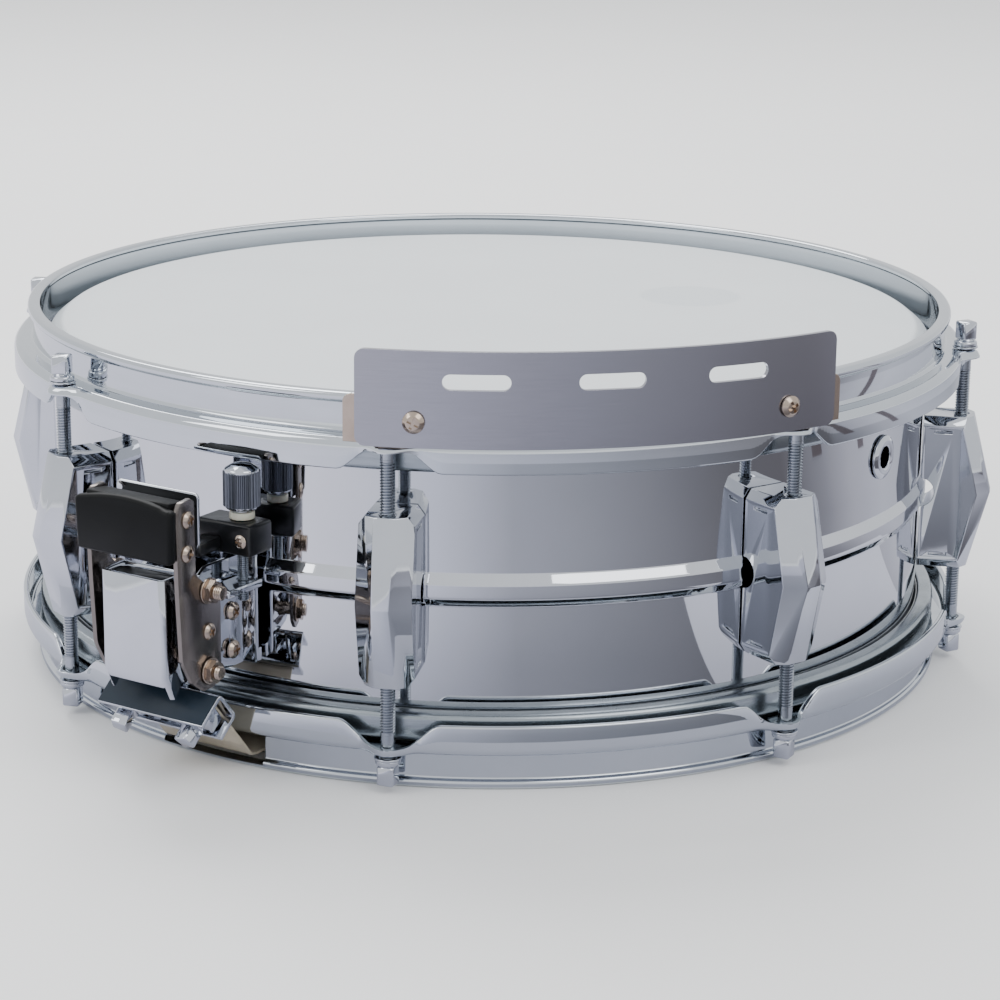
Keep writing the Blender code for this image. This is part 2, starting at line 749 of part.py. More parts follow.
def carriage_mesh():
    """The sliding plate, its shelf for the screw, and the tilted channel that holds the strap."""
    web = block("snare_carriage", (203.0 * MM, -11.0 * MM, -106.9 * MM), (205.0 * MM, 11.0 * MM, -63.0 * MM))
    shelf = block("shelf", (184.6 * MM, 7.0 * MM, -66.0 * MM), (204.0 * MM, 24.0 * MM, -63.0 * MM))
    screw_hole = rod("screw_hole", 2.5 * MM, -80 * MM, -50 * MM)
    moved(screw_hole, shift(KNOB_RADIUS_FROM_AXIS, KNOB_OFFSET, 0))
    sheet = 1.5 * MM
    outline = [
        (-7.5 * MM, -7.0 * MM),
        (3.5 * MM, -7.0 * MM),
        (3.5 * MM, -7.0 * MM + sheet),
        (-7.5 * MM + sheet, -7.0 * MM + sheet),
        (-7.5 * MM + sheet, 7.0 * MM - sheet),
        (6.5 * MM, 7.0 * MM - sheet),
        (6.5 * MM, 7.0 * MM),
        (-7.5 * MM, 7.0 * MM),
    ]
    channel = plate("channel", outline, -CLAMP_HALF_WIDTH, CLAMP_HALF_WIDTH)
    moved(channel, clamp_frame())
    entry = block("entry", (-5.9 * MM, -21 * MM, -9 * MM), (-4.2 * MM, 21 * MM, -4 * MM))
    moved(entry, clamp_frame())
    bolt_holes = []
    for side in (-1, 1):
        hole = rod("hole", 2.6 * MM, -12 * MM, -3 * MM)
        bolt_holes.append(moved(hole, clamp_frame() @ shift(y=side * BOLT_OFFSET) @ turn(90, "Y")))
    return cut(join(web, shelf, channel), screw_hole, entry, one_mesh("bolt_holes", bolt_holes))


def clamp_bar_mesh():
    body = block("snare_clamp_bar", (-4.2 * MM, -21 * MM, -4.4 * MM), (3.0 * MM, 21 * MM, 4.4 * MM))
    holes = []
    for side in (-1, 1):
        hole = rod("hole", 2.6 * MM, -12 * MM, 12 * MM)
        holes.append(moved(hole, shift(y=side * BOLT_OFFSET) @ turn(90, "Y")))
    return moved(cut(body, one_mesh("holes", holes)), clamp_frame())


def clamp_bolt_mesh(name, side, shank_end, seat, frame):
    """A square-headed bolt along the local X axis of its frame."""
    shank = rod(name, 2.2 * MM, shank_end, seat + 1 * MM)
    moved(shank, turn(90, "Y"))
    collar = moved(rod("collar", 4.0 * MM, seat, seat + 1.4 * MM), turn(90, "Y"))
    head = block("head", (seat + 1 * MM, -3.0 * MM, -3.0 * MM), (seat + 8 * MM, 3.0 * MM, 3.0 * MM))
    return moved(join(shank, collar, head), frame @ shift(y=side * BOLT_OFFSET))


def strainer_strap_mesh():
    """From under the wires' end plate, out through the hoop's gate and up into the clamp."""
    frame = clamp_frame()
    inside_clamp = frame @ Vector((-5.1 * MM, 0, 3.6 * MM))
    below_clamp = frame @ Vector((-5.1 * MM, 0, -24.0 * MM))
    line = [
        (WIRE_END - 4 * MM, STRAP_Z),
        (184.0 * MM, STRAP_Z),
        (187.3 * MM, STRAP_Z + 0.6 * MM),
        (below_clamp.x, below_clamp.z),
        (inside_clamp.x, inside_clamp.z),
    ]
    return plate("strainer_strap", band(line, STRAP_THICKNESS), -STRAP_HALF_WIDTH, STRAP_HALF_WIDTH)


def strap_bolt_slots():
    """Where the clamp bolts pass the strap."""
    cuts = []
    for side in (-1, 1):
        hole = rod("hole", 2.6 * MM, -12 * MM, 12 * MM)
        cuts.append(moved(hole, clamp_frame() @ shift(y=side * BOLT_OFFSET) @ turn(90, "Y")))
    return one_mesh("strap_holes", cuts)


# Butt end


def butt_strap_mesh():
    line = [
        (WIRE_END - 4 * MM, STRAP_Z),
        (188.0 * MM, STRAP_Z),
        (192.5 * MM, STRAP_Z + 1.4 * MM),
        (195.2 * MM, STRAP_Z + 4.6 * MM),
        (BUTT_STRAP_RADIUS, STRAP_Z + 8.5 * MM),
        (BUTT_STRAP_RADIUS, -103.0 * MM),
    ]
    body = plate("butt_strap", band(line, STRAP_THICKNESS), -STRAP_HALF_WIDTH, STRAP_HALF_WIDTH)
    slots = []
    for side in (-1, 1):
        low = (190 * MM, side * BOLT_OFFSET - 2.6 * MM, -115.5 * MM)
        high = (200 * MM, side * BOLT_OFFSET + 2.6 * MM, -104.5 * MM)
        slots.append(block("slot", low, high))
    return cut(body, one_mesh("slots", slots))


def butt_bolt_frame():
    return shift(0, 0, -112.0 * MM)


def butt_bracket_mesh():
    foot = block("butt_bracket", (LUG_BACK, -20 * MM, -107.5 * MM), (181.6 * MM, 20 * MM, -79 * MM))
    shelf = block("shelf", (180 * MM, -18 * MM, -107.5 * MM), (195.2 * MM, 18 * MM, -100 * MM))
    lip = block("lip", (193.0 * MM, -18 * MM, -119.0 * MM), (195.2 * MM, 18 * MM, -101 * MM))
    holes = []
    for side in (-1, 1):
        hole = rod("hole", 2.6 * MM, 186 * MM, 199 * MM)
        holes.append(moved(hole, butt_bolt_frame() @ shift(y=side * BOLT_OFFSET) @ turn(90, "Y")))
    return cut(join(foot, shelf, lip), one_mesh("holes", holes))


def butt_clamp_plate_mesh():
    body = block("butt_clamp_plate", (196.8 * MM, -22 * MM, -119.0 * MM), (199.6 * MM, 22 * MM, -104.0 * MM))
    holes = []
    for side in (-1, 1):
        hole = rod("hole", 2.6 * MM, 190 * MM, 205 * MM)
        holes.append(moved(hole, butt_bolt_frame() @ shift(y=side * BOLT_OFFSET) @ turn(90, "Y")))
    return cut(body, one_mesh("holes", holes))


# Snares


def snare_wires_mesh():
    """Strands side by side, brazed into a plate at each end."""
    half_width = WIRE_PITCH * WIRE_COUNT / 2
    ends = []
    for side in (-1, 1):
        low, high = sorted((side * (WIRE_END - 9 * MM), side * WIRE_END))
        ends.append(block("end", (-half_width, low, WIRE_Z - WIRE_RADIUS), (half_width, high, WIRE_Z + WIRE_RADIUS)))
    strands = []
    for index in range(WIRE_COUNT):
        x = WIRE_PITCH * (index - (WIRE_COUNT - 1) / 2)
        strand = rod("strand", WIRE_RADIUS * 0.9, -(WIRE_END - 5 * MM), WIRE_END - 5 * MM, 6)
        strands.append(moved(strand, shift(x, 0, WIRE_Z) @ turn(90, "X")))
    return join(one_mesh("snare_wires", ends), one_mesh("strands", strands))


def build_heads_and_shell():
    add("shell", shell_mesh(), "chrome", smooth=True)
    add("vent_grommet", grommet_mesh(), "nickel", smooth=True)
    batter = head_mesh("batter_head")
    add("batter_head", batter, "coated_film", smooth=True)
    add("snare_side_head", other_side(batter, "snare_side_head"), "clear_film", smooth=True)
    flesh = flesh_hoop_mesh("batter_flesh_hoop")
    add("batter_flesh_hoop", flesh, "satin_steel", smooth=True)
    add("snare_side_flesh_hoop", other_side(flesh, "snare_side_flesh_hoop"), "satin_steel", smooth=True)
    add("batter_hoop", hoop_mesh("batter_hoop"), "chrome", smooth=True)
    gated = hoop_mesh("snare_side_hoop", gate_cuts())
    add("snare_side_hoop", other_side(gated, "snare_side_hoop"), "chrome", smooth=True)


def build_lugs_and_rods():
    lug = lug_mesh()
    tension_rod = tension_rod_mesh()
    ear_face = HEAD_RECESS - STEP_DEPTH + EAR_PROUD
    guard_rods = [GUARD_ANGLE - 180 / LUG_COUNT, GUARD_ANGLE + 180 / LUG_COUNT]
    for index, angle in enumerate(rim_angles()):
        number = index + 1
        add(f"lug_{number}", lug, "chrome", angle, (0, 0, MID_Z))
        place = turn(angle) @ Vector((ROD_CIRCLE, 0, 0))
        under_bracket = any(abs((angle - other + 180) % 360 - 180) < 1 for other in guard_rods)
        lift = BRACKET_THICKNESS + GAP if under_bracket else 0.0
        top = (place.x, place.y, ear_face + lift)
        add(f"batter_tension_rod_{number}", tension_rod, "chrome", angle, top, smooth=index == 0)
        bottom = (place.x, place.y, 2 * MID_Z - ear_face)
        lower = add(f"snare_tension_rod_{number}", tension_rod, "chrome", angle, bottom)
        lower.rotation_euler = (math.pi, 0, math.radians(angle))


def build_guard():
    add("guard_plate", guard_plate_mesh(), "satin_steel", GUARD_ANGLE)
    screw = pan_screw_mesh("guard_screw", 1.4 * MM, 2.6 * MM, 3.9 * MM)
    for side, word in ((-1, "left"), (1, "right")):
        add(f"guard_bracket_{word}", guard_bracket_mesh(side), "chrome", GUARD_ANGLE)
        angle = GUARD_ANGLE + side * GUARD_SCREW_ANGLE
        seat = turn(angle) @ Vector((GUARD_INNER + GUARD_THICKNESS + GAP, 0, GUARD_SCREW_Z))
        add(f"guard_screw_{word}", screw, "nickel", angle, seat)


def build_strainer():
    add("strainer_base", strainer_base_mesh(), "chrome", STRAINER_ANGLE)
    add("strainer_cover", strainer_cover_mesh(), "chrome", STRAINER_ANGLE)
    cheek_screw = pan_screw_mesh("cheek_screw", 1.6 * MM, 3.0 * MM, 3.4 * MM)
    cheek_face = CHEEK_INNER + CHEEK_THICKNESS + GAP
    for side, word in ((-1, "left"), (1, "right")):
        for z, level in ((-76.0 * MM, "upper"), (-90.5 * MM, "lower")):
            seat = turn(STRAINER_ANGLE) @ Vector((189.0 * MM, side * cheek_face, z))
            add(f"cheek_screw_{word}_{level}", cheek_screw, "nickel", STRAINER_ANGLE + 90 * side, seat)
    pivot = joint_empty("lever_pivot", STRAINER_ANGLE, (PIVOT_RADIUS, 0, PIVOT_Z))
    for side, word in ((-1, "left"), (1, "right")):
        add(f"lever_arm_{word}", lever_arm_mesh(side), "satin_steel", STRAINER_ANGLE, parent=pivot)
    add("lever_grip", lever_grip_mesh(), "black_rubber", STRAINER_ANGLE, parent=pivot)
    centre = turn(STRAINER_ANGLE) @ Vector((PIVOT_RADIUS, 0, PIVOT_Z))
    add("lever_pivot_bolt", pivot_bolt_mesh(), "nickel", STRAINER_ANGLE, centre)
    add("tension_yoke", yoke_mesh(), "black_plastic", STRAINER_ANGLE)
    axis = turn(STRAINER_ANGLE) @ Vector((KNOB_RADIUS_FROM_AXIS, KNOB_OFFSET, 0))
    add("tension_knob", knob_mesh(), "knob_metal", STRAINER_ANGLE, axis, smooth=True)


def build_snares():
    add("snare_carriage", carriage_mesh(), "chrome", STRAINER_ANGLE)
    add("snare_clamp_bar", clamp_bar_mesh(), "chrome", STRAINER_ANGLE)
    strap = cut(strainer_strap_mesh(), strap_bolt_slots())
    add("strainer_strap", strap, "strap_plastic", STRAINER_ANGLE)
    add("butt_strap", butt_strap_mesh(), "strap_plastic", BUTT_ANGLE)
    add("snare_wires", snare_wires_mesh(), "satin_steel")
    add("butt_bracket", butt_bracket_mesh(), "chrome", BUTT_ANGLE)
    add("butt_clamp_plate", butt_clamp_plate_mesh(), "chrome", BUTT_ANGLE)
    for side, word in ((-1, "left"), (1, "right")):
        bolt = clamp_bolt_mesh("snare_clamp_bolt", side, -7.0 * MM, 3.3 * MM, clamp_frame())
        add(f"snare_clamp_bolt_{word}", bolt, "chrome", STRAINER_ANGLE)
        bolt = clamp_bolt_mesh("butt_clamp_bolt", side, 193.4 * MM, 199.9 * MM, butt_bolt_frame())
        add(f"butt_clamp_bolt_{word}", bolt, "chrome", BUTT_ANGLE)


clear_scene()
build_heads_and_shell()
build_lugs_and_rods()
build_guard()
build_strainer()
build_snares()
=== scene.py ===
import math

import bpy
from mathutils import Matrix, Vector


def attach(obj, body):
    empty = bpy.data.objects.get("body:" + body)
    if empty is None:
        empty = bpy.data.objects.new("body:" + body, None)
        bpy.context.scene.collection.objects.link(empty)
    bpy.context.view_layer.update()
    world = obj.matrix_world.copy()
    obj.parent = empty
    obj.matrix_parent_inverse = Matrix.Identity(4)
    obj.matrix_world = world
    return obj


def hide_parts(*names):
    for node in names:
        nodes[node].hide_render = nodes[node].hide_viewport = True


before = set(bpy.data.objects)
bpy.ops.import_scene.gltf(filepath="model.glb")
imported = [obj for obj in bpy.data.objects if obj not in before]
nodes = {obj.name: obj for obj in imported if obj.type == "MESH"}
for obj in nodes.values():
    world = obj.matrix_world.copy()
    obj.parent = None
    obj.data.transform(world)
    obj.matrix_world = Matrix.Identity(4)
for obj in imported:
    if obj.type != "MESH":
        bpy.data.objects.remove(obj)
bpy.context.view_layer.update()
mm = 0.001
print("frame loaded:", len(nodes), "nodes")

# the drum's own sizes in mm, as its CAD has them
drum = {
    "midZ": -64.0,
    "rimTop": 8.0,
    "height": 144.0,
    "shellRadius": 177.5,
    "rodCircle": 192.5,
    "firstRod": 22.5,
    "rods": 8,
    "earTop": -6.2,
    "guardAngle": -45.0,
    "strainerAngle": -90.0,
    "buttAngle": 90.0,
}
sides = ((-1, "left"), (1, "right"))
floorZ = (drum["rimTop"] - drum["height"]) * mm


# camera, light and floor

view = {
    "place": (0.60381, -0.93406, 0.23351),
    "heading": 32.62,
    "pitch": -15.775,
    "roll": 0.6,
    "lens": 99.78,
}

bpy.ops.object.select_all(action="DESELECT")
bpy.ops.object.camera_add(location=view["place"])
camera = bpy.context.object
aim = Matrix.Rotation(math.radians(view["heading"]), 4, "Z")
aim = aim @ Matrix.Rotation(math.radians(90 + view["pitch"]), 4, "X")
aim = aim @ Matrix.Rotation(math.radians(view["roll"]), 4, "Z")
camera.rotation_euler = aim.to_euler()
camera.data.lens = view["lens"]
camera.data.sensor_width = 36
camera.data.clip_start = 0.01
bpy.context.scene.camera = camera


def toLinear(hexColour):
    # an sRGB hex value as the linear colour that a shader takes
    parts = [int(hexColour[i:i + 2], 16) / 255 for i in (1, 3, 5)]
    return [c / 12.92 if c < 0.04045 else ((c + 0.055) / 1.055) ** 2.4 for c in parts] + [1.0]


def addNode(material, kind, values=None, links=None, into=None, **settings):
    # values and links go to its inputs by name; into is one of its outputs and the socket that takes it
    node = material.node_tree.nodes.new(kind)
    for key, value in settings.items():
        setattr(node, key, value)
    for key, value in (values or {}).items():
        node.inputs[key].default_value = value
    for key, source in (links or {}).items():
        material.node_tree.links.new(source, node.inputs[key])
    if into:
        material.node_tree.links.new(node.outputs[into[0]], into[1])
    return node


def newMaterial(name, **values):
    # an empty material with its shader; values are the shader's plain sockets
    material = bpy.data.materials.new(name)
    material.use_nodes = True
    shader = material.node_tree.nodes["Principled BSDF"]
    for key, value in values.items():
        shader.inputs[key.replace("_", " ")].default_value = value
    return material, shader


def colourAndGloss(material, shader, pattern, first, second, roughLow, roughHigh):
    # one pattern moves the colour between two hex values and the roughness between two numbers
    addNode(
        material, "ShaderNodeMix", {6: toLinear(first), 7: toLinear(second)}, {0: pattern},
        into=(2, shader.inputs["Base Color"]), data_type="RGBA",
    )
    addNode(
        material, "ShaderNodeMapRange", {"To Min": roughLow, "To Max": roughHigh}, {"Value": pattern},
        into=("Result", shader.inputs["Roughness"]),
    )


def plated(name, bright, dull, roughLow, roughHigh, grainMm=0.7, grainDepth=0.004, smudgeMm=45):
    # plated metal: cloudy wiping marks change its gloss, and a fine orange peel moves its reflections
    material, shader = newMaterial(name, Metallic=1.0)
    where = addNode(material, "ShaderNodeTexCoord").outputs["Object"]
    smudge = addNode(
        material, "ShaderNodeTexNoise", {"Scale": 1 / (smudgeMm * mm), "Detail": 5.0, "Roughness": 0.62},
        {"Vector": where},
    ).outputs["Fac"]
    colourAndGloss(material, shader, smudge, bright, dull, roughLow, roughHigh)
    peel = addNode(
        material, "ShaderNodeTexNoise", {"Scale": 1 / (grainMm * mm), "Detail": 2.0}, {"Vector": where},
    )
    addNode(
        material, "ShaderNodeBump", {"Strength": 0.12, "Distance": grainDepth * mm},
        {"Height": peel.outputs["Fac"]}, into=("Normal", shader.inputs["Normal"]),
    )
    return material


def brushed(name, bright, dull, roughLow, roughHigh, lineMm, stretch, depthMm):
    # satin metal: long fine lines along one way, from the belt that finished it
    material, shader = newMaterial(name, Metallic=1.0)
    where = addNode(material, "ShaderNodeTexCoord").outputs["Object"]
    along = addNode(material, "ShaderNodeMapping", {"Scale": stretch}, {"Vector": where})
    lines = addNode(
        material, "ShaderNodeTexNoise", {"Scale": 1 / (lineMm * mm), "Detail": 4.0, "Roughness": 0.6},
        {"Vector": along.outputs["Vector"]},
    ).outputs["Fac"]
    colourAndGloss(material, shader, lines, bright, dull, roughLow, roughHigh)
    addNode(
        material, "ShaderNodeBump", {"Strength": 0.3, "Distance": depthMm * mm}, {"Height": lines},
        into=("Normal", shader.inputs["Normal"]),
    )
    return material


def moulded(name, light, dark, rough, grainMm, depthMm, **values):
    # moulded plastic or rubber: a fine spark-eroded grain that softens its highlights
    material, shader = newMaterial(name, **values)
    where = addNode(material, "ShaderNodeTexCoord").outputs["Object"]
    cloud = addNode(
        material, "ShaderNodeTexNoise", {"Scale": 1 / (14 * mm), "Detail": 3.0}, {"Vector": where},
    ).outputs["Fac"]
    colourAndGloss(material, shader, cloud, light, dark, rough * 0.85, rough * 1.15)
    grain = addNode(
        material, "ShaderNodeTexNoise", {"Scale": 1 / (grainMm * mm), "Detail": 2.0}, {"Vector": where},
    )
    addNode(
        material, "ShaderNodeBump", {"Strength": 0.5, "Distance": depthMm * mm},
        {"Height": grain.outputs["Fac"]}, into=("Normal", shader.inputs["Normal"]),
    )
    return material


# chrome on buffed steel: a clear cool mirror with faint wiping marks
shellChrome = plated("shellChrome", "#D3D5DA", "#C4C7CD", 0.015, 0.05, smudgeMm=60)
hoopChrome = plated("hoopChrome", "#CFD3D8", "#BFC5CB", 0.02, 0.07, smudgeMm=40)
# chrome on die-cast zinc: the same mirror, a little wavier over the casting
castChrome = plated("castChrome", "#CDD0D6", "#BABEC6", 0.025, 0.09, 2.5, 0.02, 25)
# chrome on cut thread: duller, with dirt held in the roots
threadChrome = plated("threadChrome", "#B4B9BF", "#8F959D", 0.12, 0.26, 0.4, 0.02, 6)
# nickel on steel screws: a warm, slightly brown shine
warmNickel = plated("warmNickel", "#C2B4A6", "#A08F80", 0.12, 0.28, 0.5, 0.02, 5)
# satin plate on the guard: soft grey with fine lines along the sheet
guardSatin = brushed("guardSatin", "#A3A3AB", "#94949C", 0.15, 0.24, 0.5, (0.04, 0.04, 1.0), 0.002)
# nickel-plated stamped steel of the lever's arms: brownish grey, fine grain up the arm
armSteel = brushed("armSteel", "#87817D", "#6A6460", 0.16, 0.3, 0.35, (1.0, 1.0, 0.06), 0.006)
# drawn aluminium of the flesh hoops: soft grey with draw lines round the ring
ringAluminium = brushed("ringAluminium", "#A9B0B5", "#878F95", 0.18, 0.32, 0.5, (0.05, 0.05, 1.0), 0.006)
# steel snare wire: bright, a touch duller where it is brazed
wireSteel = plated("wireSteel", "#C2C3C6", "#9B9DA1", 0.15, 0.3, 0.3, 0.01, 8)
# moulded rubber-like grip: charcoal black with a soft bloom
gripRubber = moulded("gripRubber", "#0B0D0E", "#060708", 0.5, 0.35, 0.012, Specular_IOR_Level=0.16)
# glass-filled nylon: black, glossier than the grip
blackNylon = moulded("blackNylon", "#101114", "#090A0C", 0.3, 0.5, 0.008, Specular_IOR_Level=0.4)
# painted reflection on the clamp's upper face: the dark room mirrored in the chrome, painted deep blue black
# with a soft even sheen
darkReflectionFace = moulded("darkReflectionFace", "#1D2B38", "#15202B", 0.42, 1.2, 0.006, Specular_IOR_Level=0.25)
# knurled grey anodised knob
knobGrey = brushed("knobGrey", "#777B83", "#5D6068", 0.28, 0.42, 0.3, (1.0, 1.0, 0.1), 0.008)
# acetal collar under the knob: cream white, waxy
creamAcetal = moulded("creamAcetal", "#CFCBBB", "#BDB8A6", 0.35, 0.6, 0.006, Subsurface_Weight=0.08)
# hazy plastic snare strap
strapPlastic = moulded("strapPlastic", "#B4AB9A", "#978E7E", 0.3, 0.8, 0.01)
print("metals and plastics made")


filmDisc = {"centre": (0.053, 0.073), "radius": 0.021, "soft": 0.0015, "strength": 0.55}


def coatedFilm():
    # polyester film with a sprayed white coating: matt, with a fine pebble that brushes catch on
    material, shader = newMaterial("coatedFilm", Specular_IOR_Level=0.35)
    where = addNode(material, "ShaderNodeTexCoord").outputs["Object"]
    cloud = addNode(
        material, "ShaderNodeTexNoise", {"Scale": 1 / (60 * mm), "Detail": 4.0}, {"Vector": where},
    ).outputs["Fac"]
    tone = addNode(
        material, "ShaderNodeMix", {6: toLinear("#DFE4E6"), 7: toLinear("#D5DADD")}, {0: cloud},
        data_type="RGBA",
    )
    # a faint greyer round disc on the film, soft at its edge
    x, y = filmDisc["centre"]
    fromPatch = addNode(material, "ShaderNodeMapping", {"Location": (-x, -y, 0.0)}, {"Vector": where})
    reach = addNode(
        material, "ShaderNodeVectorMath", links={0: fromPatch.outputs["Vector"]}, operation="LENGTH",
    )
    radius, soft = filmDisc["radius"], filmDisc["soft"]
    discMask = addNode(
        material, "ShaderNodeMapRange",
        {"From Min": radius + soft, "From Max": radius - soft, "To Max": filmDisc["strength"]},
        {"Value": reach.outputs["Value"]}, interpolation_type="SMOOTHSTEP",
    )
    addNode(
        material, "ShaderNodeMix", {7: toLinear("#C9CFD3")}, {0: discMask.outputs["Result"], 6: tone.outputs[2]},
        into=(2, shader.inputs["Base Color"]), data_type="RGBA",
    )
    pebble = addNode(
        material, "ShaderNodeTexNoise", {"Scale": 1 / (0.9 * mm), "Detail": 3.0}, {"Vector": where},
    ).outputs["Fac"]
    addNode(
        material, "ShaderNodeMapRange", {"To Min": 0.42, "To Max": 0.6}, {"Value": pebble},
        into=("Result", shader.inputs["Roughness"]),
    )
    addNode(
        material, "ShaderNodeBump", {"Strength": 0.35, "Distance": 0.03 * mm}, {"Height": pebble},
        into=("Normal", shader.inputs["Normal"]),
    )
    return material


def hazyFilm():
    # thin uncoated snare-side film: milky and half clear, with a smooth sheen
    material, shader = newMaterial("hazyFilm", Transmission_Weight=0.35, IOR=1.5)
    where = addNode(material, "ShaderNodeTexCoord").outputs["Object"]
    cloud = addNode(
        material, "ShaderNodeTexNoise", {"Scale": 1 / (35 * mm), "Detail": 5.0}, {"Vector": where},
    ).outputs["Fac"]
    colourAndGloss(material, shader, cloud, "#D9DDDF", "#C9CFD2", 0.16, 0.3)
    addNode(
        material, "ShaderNodeBump", {"Strength": 0.2, "Distance": 0.05 * mm}, {"Height": cloud},
        into=("Normal", shader.inputs["Normal"]),
    )
    return material


def mattSurface(name, first, second, rough=0.9, scale=5.0):
    # the floor, and the cards whose colour is a painted reflection in the chrome: plain and matt, a little
    # uneven
    material, shader = newMaterial(name, Roughness=rough)
    where = addNode(material, "ShaderNodeTexCoord").outputs["Object"]
    cloud = addNode(material, "ShaderNodeTexNoise", {"Scale": scale, "Detail": 3.0}, {"Vector": where})
    addNode(
        material, "ShaderNodeMix", {6: toLinear(first), 7: toLinear(second)}, {0: cloud.outputs["Fac"]},
        into=(2, shader.inputs["Base Color"]), data_type="RGBA",
    )
    return material


batterFilm = coatedFilm()
snareFilm = hazyFilm()

light = {
    "floorColours": ("#FBFBFA", "#F7F7F6"),
    "floorSize": 14.0,
    "worldColour": "#EEF0F3",
    "worldStrength": 1.28,
}

bpy.ops.object.select_all(action="DESELECT")
bpy.ops.mesh.primitive_plane_add(size=light["floorSize"], location=(0, 0, floorZ))
floor = bpy.context.object
floor.name = "floor"
floor.data.materials.append(mattSurface("paleFloor", *light["floorColours"], 0.75, 3.0))


# painted shade: these colours darken towards the right, where the drum's shadow and the room's shade lie, so
# that the chrome mirrors them
farShadeTones = [
    # direction in degrees, colour
    (-180, "#D8D6E0"), (-94, "#DEDCE8"), (-68, "#CDCDDA"), (-48, "#AEAEBA"), (-38, "#A0A1AC"),
    (-28, "#93939C"), (-14, "#807F87"), (-2, "#706E74"), (10, "#6E6B70"), (22, "#92909A"),
    (32, "#B2B1BA"), (44, "#C0C0CA"), (70, "#A6A8B2"), (120, "#C8C8D0"), (180, "#D8D6E0"),
]
nearShadeTones = [
    (-180, "#D8D6E0"), (-94, "#DEDCE8"), (-68, "#C3C4D2"), (-52, "#94959F"), (-38, "#83848D"),
    (-28, "#76767E"), (-14, "#5F5E65"), (-2, "#4B494E"), (10, "#4A474C"), (22, "#74737B"),
    (32, "#9E9DA6"), (44, "#B0B0BA"), (70, "#90929B"), (120, "#C8C8D0"), (180, "#D8D6E0"),
]


def paintedShadeSheet(name, tones):
    # a wide sheet round the drum that only reflections meet, its colour painted darker to the right: painted
    # shade, so the chrome runs from light to dark
    material, shader = newMaterial(name, Roughness=0.9)
    where = addNode(material, "ShaderNodeTexCoord").outputs["Object"]
    around = addNode(material, "ShaderNodeTexGradient", links={"Vector": where}, gradient_type="RADIAL")
    ramp = addNode(material, "ShaderNodeValToRGB", links={"Fac": around.outputs["Fac"]})
    stops = ramp.color_ramp.elements
    stops[0].position, stops[0].color = 0.0, toLinear(tones[0][1])
    stops[1].position, stops[1].color = 1.0, toLinear(tones[-1][1])
    for direction, colour in tones[1:-1]:
        stops.new(0.5 + direction / 360).color = toLinear(colour)
    grain = addNode(material, "ShaderNodeTexNoise", {"Scale": 6.0, "Detail": 3.0}, {"Vector": where})
    shade = addNode(
        material, "ShaderNodeMapRange", {"To Min": 0.94, "To Max": 1.04}, {"Value": grain.outputs["Fac"]},
    )
    addNode(
        material, "ShaderNodeVectorMath", links={0: ramp.outputs["Color"], "Scale": shade.outputs["Result"]},
        into=("Vector", shader.inputs["Base Color"]), operation="SCALE",
    )
    return material


# a pale lilac grey sheet near the drum that only reflections meet: a painted reflection in the chrome
paleReflectionCard = mattSurface("paleReflectionCard", "#CFCFD9", "#C4C4CF")
cards = [
    # finish, direction in degrees, nearest and farthest in metres, half spread in degrees, height in mm
    (paleReflectionCard, 0, 0.10, 0.235, 180, 1.0),
    (paintedShadeSheet("nearShadeSheet", nearShadeTones), 0, 0.235, 0.62, 180, 1.0),
    (paintedShadeSheet("farShadeSheet", farShadeTones), 0, 0.62, 1.5, 180, 1.0),
    (paleReflectionCard, 8, 0.23, 0.34, 28, 2.0),
    # painted reflections: dark cards that only the chrome sees, standing in for shade, so it shows dark bands
    (mattSurface("brownReflectionCard", "#4A4045", "#3A3236"), 21, 0.54, 1.3, 1.6, 3.0),
    (mattSurface("duskReflectionCard", "#5E555B", "#4C444A"), 37, 0.52, 1.3, 1.2, 3.0),
]
for index, (finish, direction, near, far, spread, height) in enumerate(cards):
    # each card is a ring sector on the floor that only reflections meet, its colour a painted reflection
    bpy.ops.object.select_all(action="DESELECT")
    bpy.ops.mesh.primitive_plane_add(size=mm, location=(0, 0, 0))
    card = bpy.context.object
    card.name = f"card{index}"
    bpy.ops.object.mode_set(mode="EDIT")
    bpy.ops.mesh.merge(type="CENTER")
    bpy.ops.transform.translate(value=(near, 0, floorZ + height * mm))
    bpy.ops.mesh.extrude_vertices_move(TRANSFORM_OT_translate={"value": (far - near, 0, 0)})
    bpy.ops.mesh.select_all(action="SELECT")
    bpy.ops.mesh.spin(steps=48, angle=math.radians(2 * spread), center=(0, 0, 0), axis=(0, 0, 1))
    bpy.ops.object.mode_set(mode="OBJECT")
    # the spin runs clockwise from X, so half of it is turned back
    card.data.transform(Matrix.Rotation(math.radians(direction + spread), 4, "Z"))
    card.data.materials.append(finish)
    card.visible_camera = False
    card.visible_diffuse = False
    card.visible_shadow = False

world = bpy.data.worlds.new("studio")
world.use_nodes = True
bpy.context.scene.world = world
backdrop = world.node_tree.nodes["Background"]
backdrop.inputs["Color"].default_value = toLinear(light["worldColour"])
backdrop.inputs["Strength"].default_value = light["worldStrength"]

softLights = [
    # place, aimed at, width, height, power
    ((-1.1, 0.9, 1.9), (0, 0, 0), 1.6, 1.6, 50),
    ((1.6, -0.6, 1.5), (0, 0, 0), 1.2, 1.2, 12),
    ((-0.9, -1.6, 1.3), (0, 0, -0.05), 1.0, 1.0, 10),
]
for index, (place, target, width, height, power) in enumerate(softLights):
    bpy.ops.object.light_add(type="AREA", location=place)
    lamp = bpy.context.object
    lamp.name = f"softLight{index}"
    lamp.data.shape = "RECTANGLE"
    lamp.data.size = width
    lamp.data.size_y = height
    lamp.data.energy = power
    lamp.rotation_euler = (Vector(target) - Vector(place)).to_track_quat("-Z", "Y").to_euler()
print("camera, floor and light set")


# modelling helpers: a line is drawn point by point, then spun or filled and given its thickness

